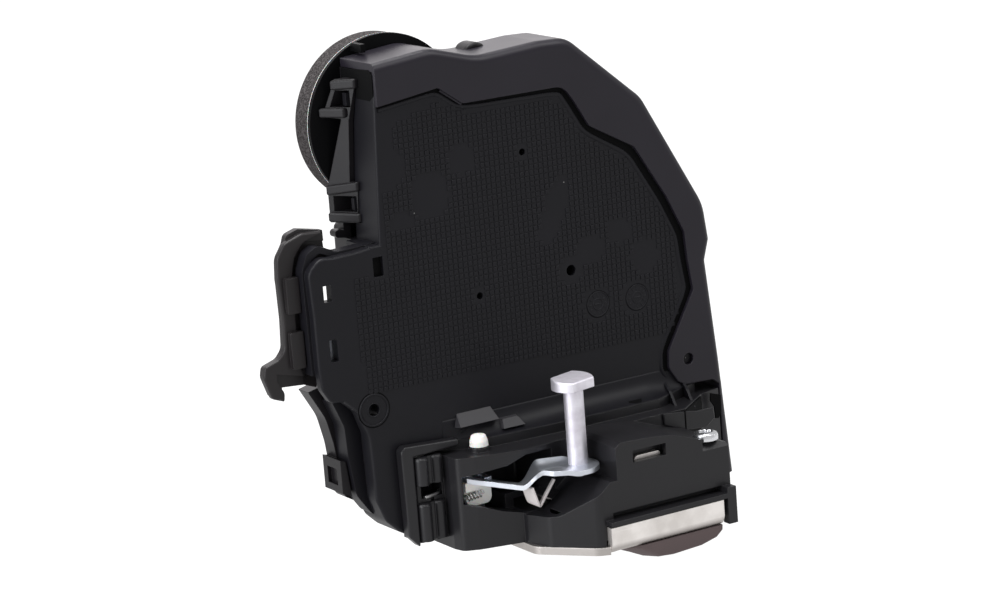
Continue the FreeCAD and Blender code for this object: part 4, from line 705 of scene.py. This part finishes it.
def column(low, high, lobes):
    """A post on the wall made of half-round lobes, each (x, half width, how far it
    stands out), domed at the top."""
    shapes = []
    for x, half, out in lobes:
        t = np.linspace(0, math.pi, 13)
        crown = np.array([0.0, 0.0, 0.35, 0.75, 1.0])
        shrink = np.array([1.0, 1.0, 0.97, 0.82, 0.4])
        level = np.array([low, high - 1.2, high - 1.2, high - 1.2, high - 1.2]) + 1.2 * crown
        depth = -2.0 - (out * shrink)[:, None] * np.sin(t)[None]
        across = x + half * np.cos(t)[None] * (0.85 + 0.15 * shrink)[:, None]
        corners = np.stack([across, depth, level[:, None] + 0 * depth], axis=-1).reshape(-1, 3)
        shapes.append((corners, tube_faces(len(level), len(t))))
    return joined(*shapes)


LOBES = [(-54.1, 2.4, 3.3), (-51.2, 1.3, 1.5), (-48.8, 2.0, 2.6)]
piece("post_upper", *column(23.9, 32.6, LOBES), LATCH_BLACK, "latch_black", smooth=True)
piece("post_lower", *column(6.3, 18.2, LOBES), LATCH_BLACK, "latch_black", smooth=True)
# A near-black slab in the corner's pit: painted shade.
corner_pit = np.array([(34.9, -15.2, 21.0), (48.8, -4.2, 21.0), (48.8, -4.2, 31.0), (34.9, -15.2, 31.0)])
piece("corner_pit_dark", np.concatenate([corner_pit, corner_pit + (-0.3, 0.5, 0.0)]), BLOCK_FACES, PAINTED_SHADE,
      "latch_black")
corner_block = [(26.9, 31.7), (35.7, 30.7), (39.8, 30.0), (45.8, 30.1), (46.1, 26.4), (42.7, 24.1),
                (34.1, 24.9), (27.2, 27.9)]
rounded(piece("corner_block", *slab(corner_block, -14.9, -14.1), LATCH_BLACK, "latch_black"), 0.25)
# A near-black slab in the corner's void: painted shade.
corner_void = [(51.9, 31.5), (55.8, 30.2), (55.6, 24.7), (54.5, 22.8), (53.3, 23.0), (53.1, 26.8),
               (51.7, 29.0)]
piece("corner_void_dark", *slab(corner_void, -4.9, -4.4), PAINTED_SHADE, "latch_black")
latch_screw = screw_shape((29.1, -33.9, 26.9), (0, 0, 1), (1, 0, 0), 3.9, 2.4, 1.5, 11.0)
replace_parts(piece("latch_screw_head", *latch_screw, SCREW_ZINC, "screw_zinc", smooth=True), "latch_screw")

# ---------------------------------------------------------------- steel plates, claw and pawl
# Blanked and formed from zinc-plated sheet: the base plate with its flange and the back plate with its tab.
# The claw and pawl are hardened steel, and the claw wears a plastic cap against rattle. A rubber pad lies
# under the plate's front edge, and a rubber block stops the striker.
ZINC_PLATE = metalwork("zinc_plate", (0.88, 0.84, 0.81), (0.72, 0.68, 0.65), rough=0.42, grain=0.3,
                       scale=1800.0, blotch=140.0)
# Below 1.9 to 3.4 mm up, the plates' colour is blended to a dull grey-brown (0.46, 0.43, 0.41).
plate_tree = ZINC_PLATE.node_tree
plate_shader = plate_tree.nodes["Principled BSDF"]
plate_place = add(plate_tree, "SeparateXYZ", [("Vector", add(plate_tree, "TexCoord").outputs["Object"])])
above_cut = add(plate_tree, "MapRange", [("Value", plate_place.outputs["Z"]), ("From Min", 1.9 * MM),
                                         ("From Max", 3.4 * MM)])
plate_tone = plate_shader.inputs["Base Color"].links[0].from_socket
plate_tree.links.new(mixed(plate_tree, above_cut.outputs["Result"], (0.46, 0.43, 0.41), plate_tone),
                     plate_shader.inputs["Base Color"])
for node in ("base_plate", "back_plate"):
    dress(node, ZINC_PLATE)
for node in ("claw_pin", "pawl_pin", "claw", "pawl", "lever_pivot"):
    dress(node, HARD_STEEL)
dress("claw_cover", moulding("claw_plastic", (0.030, 0.028, 0.028), rough=0.45))


def rubber(name, colour):
    """Soft moulded rubber: matt, cloudy and slightly chalky, with a coarse grain."""
    return moulding(name, colour, rough=0.72, grain=0.4, scale=900.0, worn=0.35, radius=0.6, flecks=260.0,
                    gloss=0.3)


dress("striker_bumper", rubber("bumper_rubber", (0.018, 0.017, 0.017)))
RUBBER_BROWN = rubber("rubber_brown", (0.105, 0.078, 0.078))


def buffer_pad():
    """The pad under the plate's edge: its bowed outline carried back, its left
    end running out to the back."""
    low = np.array([(-6.6, 0.4), (-6.4, -0.6), (-2.0, -3.0), (1.5, -4.7), (8.0, -5.2), (20.0, -4.7),
                    (27.0, -3.3), (29.6, -1.4), (29.8, 0.4)])
    depth = np.array([-39.2, -38.9, -38.2, -34.0, -29.2])
    shrink = np.array([0.80, 0.82, 0.84, 0.94, 1.0])
    sink = np.array([0.86, 0.95, 1.0, 1.0, 0.9])
    x = 29.8 - (29.8 - low[:, 0])[None] * shrink[:, None]
    z = 0.4 + (low[:, 1] - 0.4)[None] * sink[:, None]
    corners = np.stack([x, depth[:, None] + 0 * x, z], axis=-1).reshape(-1, 3)
    return corners, tube_faces(len(depth), len(low))


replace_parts(piece("buffer_pad", *buffer_pad(), RUBBER_BROWN, "rubber_brown", smooth=True), "striker_pad")

# ---------------------------------------------------------------- springs
# Torsion springs of hard-drawn wire, wound close on the two rivets and on the lever's pin. The outside
# lever's return spring also shows a small coil at the lever and a leg that runs off to the left.
SPRING_STEEL = metalwork("spring_steel", (0.62, 0.61, 0.60), (0.44, 0.44, 0.45), rough=0.3)


def helix(centre, along, first, radius, length, turns, each=20):
    """Points of a helix: turning about a line at a fixed radius while moving along it evenly."""
    centre, along, first = (np.array(v, float) for v in (centre, along, first))
    t = np.linspace(0, 1, int(turns * each) + 1)[:, None]
    angle = 2 * math.pi * turns * t
    circle = np.cos(angle) * first + np.sin(angle) * np.cross(along, first)
    return centre + along * length * t + radius * circle


def wire(path, radius, sides=10):
    """Round wire along a path: a circle in the plane square to the path, held steady by a fixed reference."""
    path = np.asarray(path, float)
    step = np.gradient(path, axis=0)
    step /= np.linalg.norm(step, axis=1)[:, None]
    steady = np.eye(3)[np.argmin(np.abs(step).mean(axis=0))]
    side = np.cross(step, steady)
    side /= np.linalg.norm(side, axis=1)[:, None]
    up = np.cross(side, step)
    angle = np.linspace(0, 2 * math.pi, sides, endpoint=False)
    corners = (path[:, None] + radius * np.cos(angle)[None, :, None] * side[:, None]
               + radius * np.sin(angle)[None, :, None] * up[:, None])
    return corners.reshape(-1, 3), tube_faces(len(path), sides)


def wound(name, node, centre, along, first, outer, length, gauge):
    """A close-wound torsion spring that stands for the CAD sleeve of its outer size."""
    turns = (length - gauge) / (gauge * 1.04)
    path = helix(np.array(centre) + np.array(along) * gauge / 2, along, first, outer - gauge / 2,
                 length - gauge, turns)
    made = piece(name, *wire(path, gauge / 2), SPRING_STEEL, "spring_steel", smooth=True)
    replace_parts(made, node)


wound("claw_spring_wire", "claw_spring", (-6.0, -3.0, 9.8), (0, 0, 1), (1, 0, 0), 6.0, 2.6, 0.8)
wound("pawl_spring_wire", "pawl_spring", (22.0, -20.0, 8.6), (0, 0, 1), (1, 0, 0), 6.0, 3.6, 0.9)
wound("lever_spring_wire", "lever_spring", (-38.0, -2.6, 18.9), (0, 1, 0), (1, 0, 0), 4.2, 5.0, 0.9)
coil_path = helix((-42.6, -8.7, 18.2), (0.995, 0, 0.1), (0, 1, 0), 0.95, 5.8, 5.5, each=16)
piece("lever_spring_end", *wire(coil_path, 0.27, sides=8), SPRING_STEEL, "spring_steel", body="outside_lever",
      smooth=True)
leg = smoothed(np.array([(-41.8, 1.6, 20.0), (-46.0, 0.6, 20.2), (-49.0, -2.4, 20.0), (-54.0, -3.4, 19.8)]))
piece("lever_spring_leg", *wire(leg, 0.6), SPRING_STEEL, "spring_steel", smooth=True)

# ---------------------------------------------------------------- outside lever with its stud and bush
# Pressed from 1.5 mm sheet and bright zinc plated. A die-cast stud is riveted in its flange for the
# handle's rod to push, and a nylon bush in its ear runs on the pivot pin.
ZINC_LEVER = metalwork("zinc_lever", (0.74, 0.77, 0.82), (0.56, 0.59, 0.66), rough=0.40, grain=0.2,
                       scale=1500.0, spread=0.12)
for node in ("open_link", "inside_lever"):
    dress(node, ZINC_LEVER)


SHEET_THICK = 1.5


def rise(t):
    """Zero below 0 and one above 1, with a smooth step between: three squares less two cubes."""
    t = np.clip(t, 0.0, 1.0)
    return t * t * (3 - 2 * t)


def lever_height(x, y):
    """Top of the sheet: an arm that falls to the right, a skewed S bend, and the
    level flange round the stud."""
    along = x + 0.24 * (y + 21.0)
    arm = 25.0 - 0.235 * (along + 42.8) + 0.5 * rise((-36.5 - along) / 6)
    flange = 26.35 + 0.016 * (along + 25.0) + 1.3 * rise((-16.5 - x) / 6.0) * rise((-23.0 - y) / 6.0)
    curl = 1.6 * rise((y + 21.0) / 5.0) * rise((x + 25.0) / 5.0) * (1 - rise((x + 14.0) / 4.0))
    return arm + (flange - arm) * rise((x - 0.42 * (y + 21.0) + 30.1) / 6.4) + curl


def lever_sheet():
    """The pressed sheet: front and rear edges of its plan as curves of x, and its two skins a sheet apart."""
    x = np.concatenate([np.linspace(-42.1, -16.0, 60),
                        -14.2 + 7.2 * np.sin(np.linspace(-0.25, math.pi / 2, 22))])
    front = np.interp(x, [-42.8, -38, -31.5, -27.4, -26.6, -25.2, -22.5, -19, -16],
                      [-8.4, -12.2, -19.3, -23.6, -28.0, -31.6, -33.6, -34.4, -34.2])
    rear = np.interp(x, [-42.8, -33, -31, -27, -20.5, -12.5, -9.6],
                     [-4.3, -4.6, -10.2, -13, -17.2, -18.6, -20.4])
    round_end = np.sqrt(np.clip(7.2 ** 2 - (x + 14.2) ** 2, 0.0, None))
    front = np.where(x > -16, -27.0 - round_end, front)
    rear = np.where(x > -11.5, np.minimum(rear, -27.0 + np.maximum(round_end, 0.02)), rear)
    v = np.linspace(0, 1, 17)
    y = front[:, None] + (rear - front)[:, None] * v[None]
    across = x[:, None] + 0 * y
    top = lever_height(across, y)
    skins = [np.stack([across, y, top - drop], axis=-1) for drop in (0.0, SHEET_THICK)]
    loop = np.concatenate([skins[0], skins[1][:, ::-1]], axis=1)
    around = loop.shape[1]
    faces = [list(f) for f in grid_faces(len(x), around, wrap_columns=True)]
    return loop.reshape(-1, 3), faces + [list(range(around))]


sheet_piece = piece("lever_sheet", *lever_sheet(), ZINC_LEVER, "zinc_lever", body="outside_lever",
                    smooth=True)
ear = [(-42.8, 24.2), (-42.8, 16.6), (-41.4, 15.2), (-34.4, 15.2), (-32.8, 16.8), (-32.8, 21.4)]
ear_piece = piece("lever_ear", *joined(slab(ear, -4.4, -2.9), box(-34.0, -6.0, 20.9, -31.6, 4.9, 22.4)),
                  ZINC_LEVER, "zinc_lever", body="outside_lever")


def lever_fold():
    """The stop folded down under the bend: a V of sheet, its left leg deep, its right
    leg cut back to a narrow strip."""
    line = smoothed(np.array([(-27.5, 20.8), (-26.7, 18.4), (-25.8, 15.4), (-24.9, 14.2), (-23.9, 15.2),
                              (-22.3, 17.4), (-18.9, 21.8)]), pull=0.35)
    step = np.gradient(line, axis=0)
    normal = np.stack([-step[:, 1], step[:, 0]], axis=-1) / np.linalg.norm(step, axis=1)[:, None]
    reach = np.interp(line[:, 0], [-27.6, -25.2, -23.6, -19.9], [6.4, 6.4, 1.2, 1.0])
    depth = -22.4 + reach[:, None] * np.array([0.0, 0.1, 0.9, 1.0])[None]
    outer = np.stack([np.broadcast_to(line[:, None, 0], depth.shape), depth,
                      np.broadcast_to(line[:, None, 1], depth.shape)], axis=-1)
    lift = np.stack([normal[:, 0], 0 * normal[:, 0], normal[:, 1]], axis=-1)[:, None] * 0.7
    loop = np.concatenate([outer, (outer + lift)[:, ::-1]], axis=1)
    return loop.reshape(-1, 3), tube_faces(len(line), loop.shape[1])


# A brighter, less metallic copy of the lever's zinc: painted light on the fold, whose deep left leg lies in
# shade.
FOLD_ZINC_PAINTED_LIGHT = metalwork("zinc_fold_painted_light", (0.92, 0.87, 0.85), (0.80, 0.74, 0.73), rough=0.5, metallic=0.35)
fold_piece = piece("lever_fold", *lever_fold(), FOLD_ZINC_PAINTED_LIGHT, "zinc_lever", body="outside_lever", smooth=True)
for made in (sheet_piece, ear_piece, fold_piece):
    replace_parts(made, "outside_lever")
dress("outside_lever_stud", metalwork("zinc_stud", (0.80, 0.78, 0.84), (0.66, 0.63, 0.69), rough=0.54,
                                      grain=0.7, scale=1300.0, blotch=260.0, radius=0.3))
NYLON_WHITE = moulding("nylon_white", (0.78, 0.77, 0.74), rough=0.4, grain=0.1, worn=0.2, gloss=0.5,
                       scatter=0.25)
for node in ("lever_bush", "lock_shaft", "lock_knob"):
    dress(node, NYLON_WHITE)

# ---------------------------------------------------------------- studio
# A light table: a pale glowing sheet under the latch, a large soft box overhead, weaker ones at the left,
# right and back, and one high in front that lights the tops of the pads. The camera stands where the
# outside lever and the textured face both show.
world = bpy.data.worlds.new("studio")
bpy.context.scene.world = world
world.use_nodes = True
sky = world.node_tree
seen = add(sky, "LightPath").outputs["Is Camera Ray"]
strength = scaled(sky, seen, 0.62, 1.0)
sky.links.new(strength, sky.nodes["Background"].inputs["Strength"])
sky.nodes["Background"].inputs["Color"].default_value = (1.0, 1.0, 1.0, 1.0)

floor_half = 3.0
floor_level = cad_box[0][2] - 0.0004
floor = bpy.data.objects.new("floor", bpy.data.meshes.new("floor"))
floor.data.from_pydata([(-floor_half, -floor_half, floor_level), (floor_half, -floor_half, floor_level),
                        (floor_half, floor_half, floor_level), (-floor_half, floor_half, floor_level)], [],
                       [(0, 1, 2, 3)])
bpy.context.collection.objects.link(floor)
glow = bpy.data.materials.new("light_table")
glow.use_nodes = True
glow.node_tree.nodes["Principled BSDF"].inputs["Base Color"].default_value = (0.02, 0.02, 0.02, 1)
glow.node_tree.nodes["Principled BSDF"].inputs["Emission Color"].default_value = (1.0, 1.0, 1.0, 1)
table_strength = scaled(glow.node_tree, add(glow.node_tree, "LightPath").outputs["Is Camera Ray"], 0.8, 1.0)
glow.node_tree.links.new(table_strength, glow.node_tree.nodes["Principled BSDF"].inputs["Emission Strength"])
floor.data.materials.append(glow)


def soft_box(name, place, target, wide, tall, watts, colour=(1.0, 1.0, 1.0)):
    """A rectangular area lamp at a place, turned towards a target."""
    lamp = bpy.data.lights.new(name, "AREA")
    lamp.shape = "RECTANGLE"
    lamp.size = wide
    lamp.size_y = tall
    lamp.energy = watts
    lamp.color = colour
    made = bpy.data.objects.new(name, lamp)
    made.location = place
    made.rotation_euler = (Vector(target) - Vector(place)).to_track_quat("-Z", "Y").to_euler()
    made.visible_camera = False
    bpy.context.collection.objects.link(made)


middle = Vector((-0.012, 0.0, 0.075))
soft_box("overhead", (-0.10, 0.10, 0.80), middle, 0.8, 0.5, 9.0)
soft_box("left", (-0.80, -0.10, 0.30), middle, 0.35, 0.7, 5.0, (0.95, 0.97, 1.0))
soft_box("behind", (0.15, 0.80, 0.45), middle, 0.9, 0.5, 1.6, (1.0, 0.95, 0.97))
soft_box("right", (0.7, -0.35, 0.35), middle, 0.3, 0.5, 0.25)
soft_box("front_top", (0.32, -0.28, 0.66), middle, 0.45, 0.35, 1.6)

turn, tilt, roll = math.radians(-31.0), math.radians(13.0), math.radians(4.4)
back = Vector((math.sin(turn) * math.cos(tilt), -math.cos(turn) * math.cos(tilt), math.sin(tilt)))
right = Vector((math.cos(turn), math.sin(turn), 0.0))
up = back.cross(right)
level = right * math.cos(roll) - up * math.sin(roll)
upright = right * math.sin(roll) + up * math.cos(roll)
camera = bpy.data.objects.new("camera", bpy.data.cameras.new("camera"))
bpy.context.collection.objects.link(camera)
stand = Matrix((level, upright, back)).transposed().to_4x4()
stand.translation = Vector((-0.020, 0.0, 0.076)) + back * 1.06707
camera.matrix_world = stand
camera.data.lens = 126.0
camera.data.sensor_width = 36.0
camera.data.clip_start = 0.01
bpy.context.scene.camera = camera
bpy.context.scene.view_settings.view_transform = "Standard"
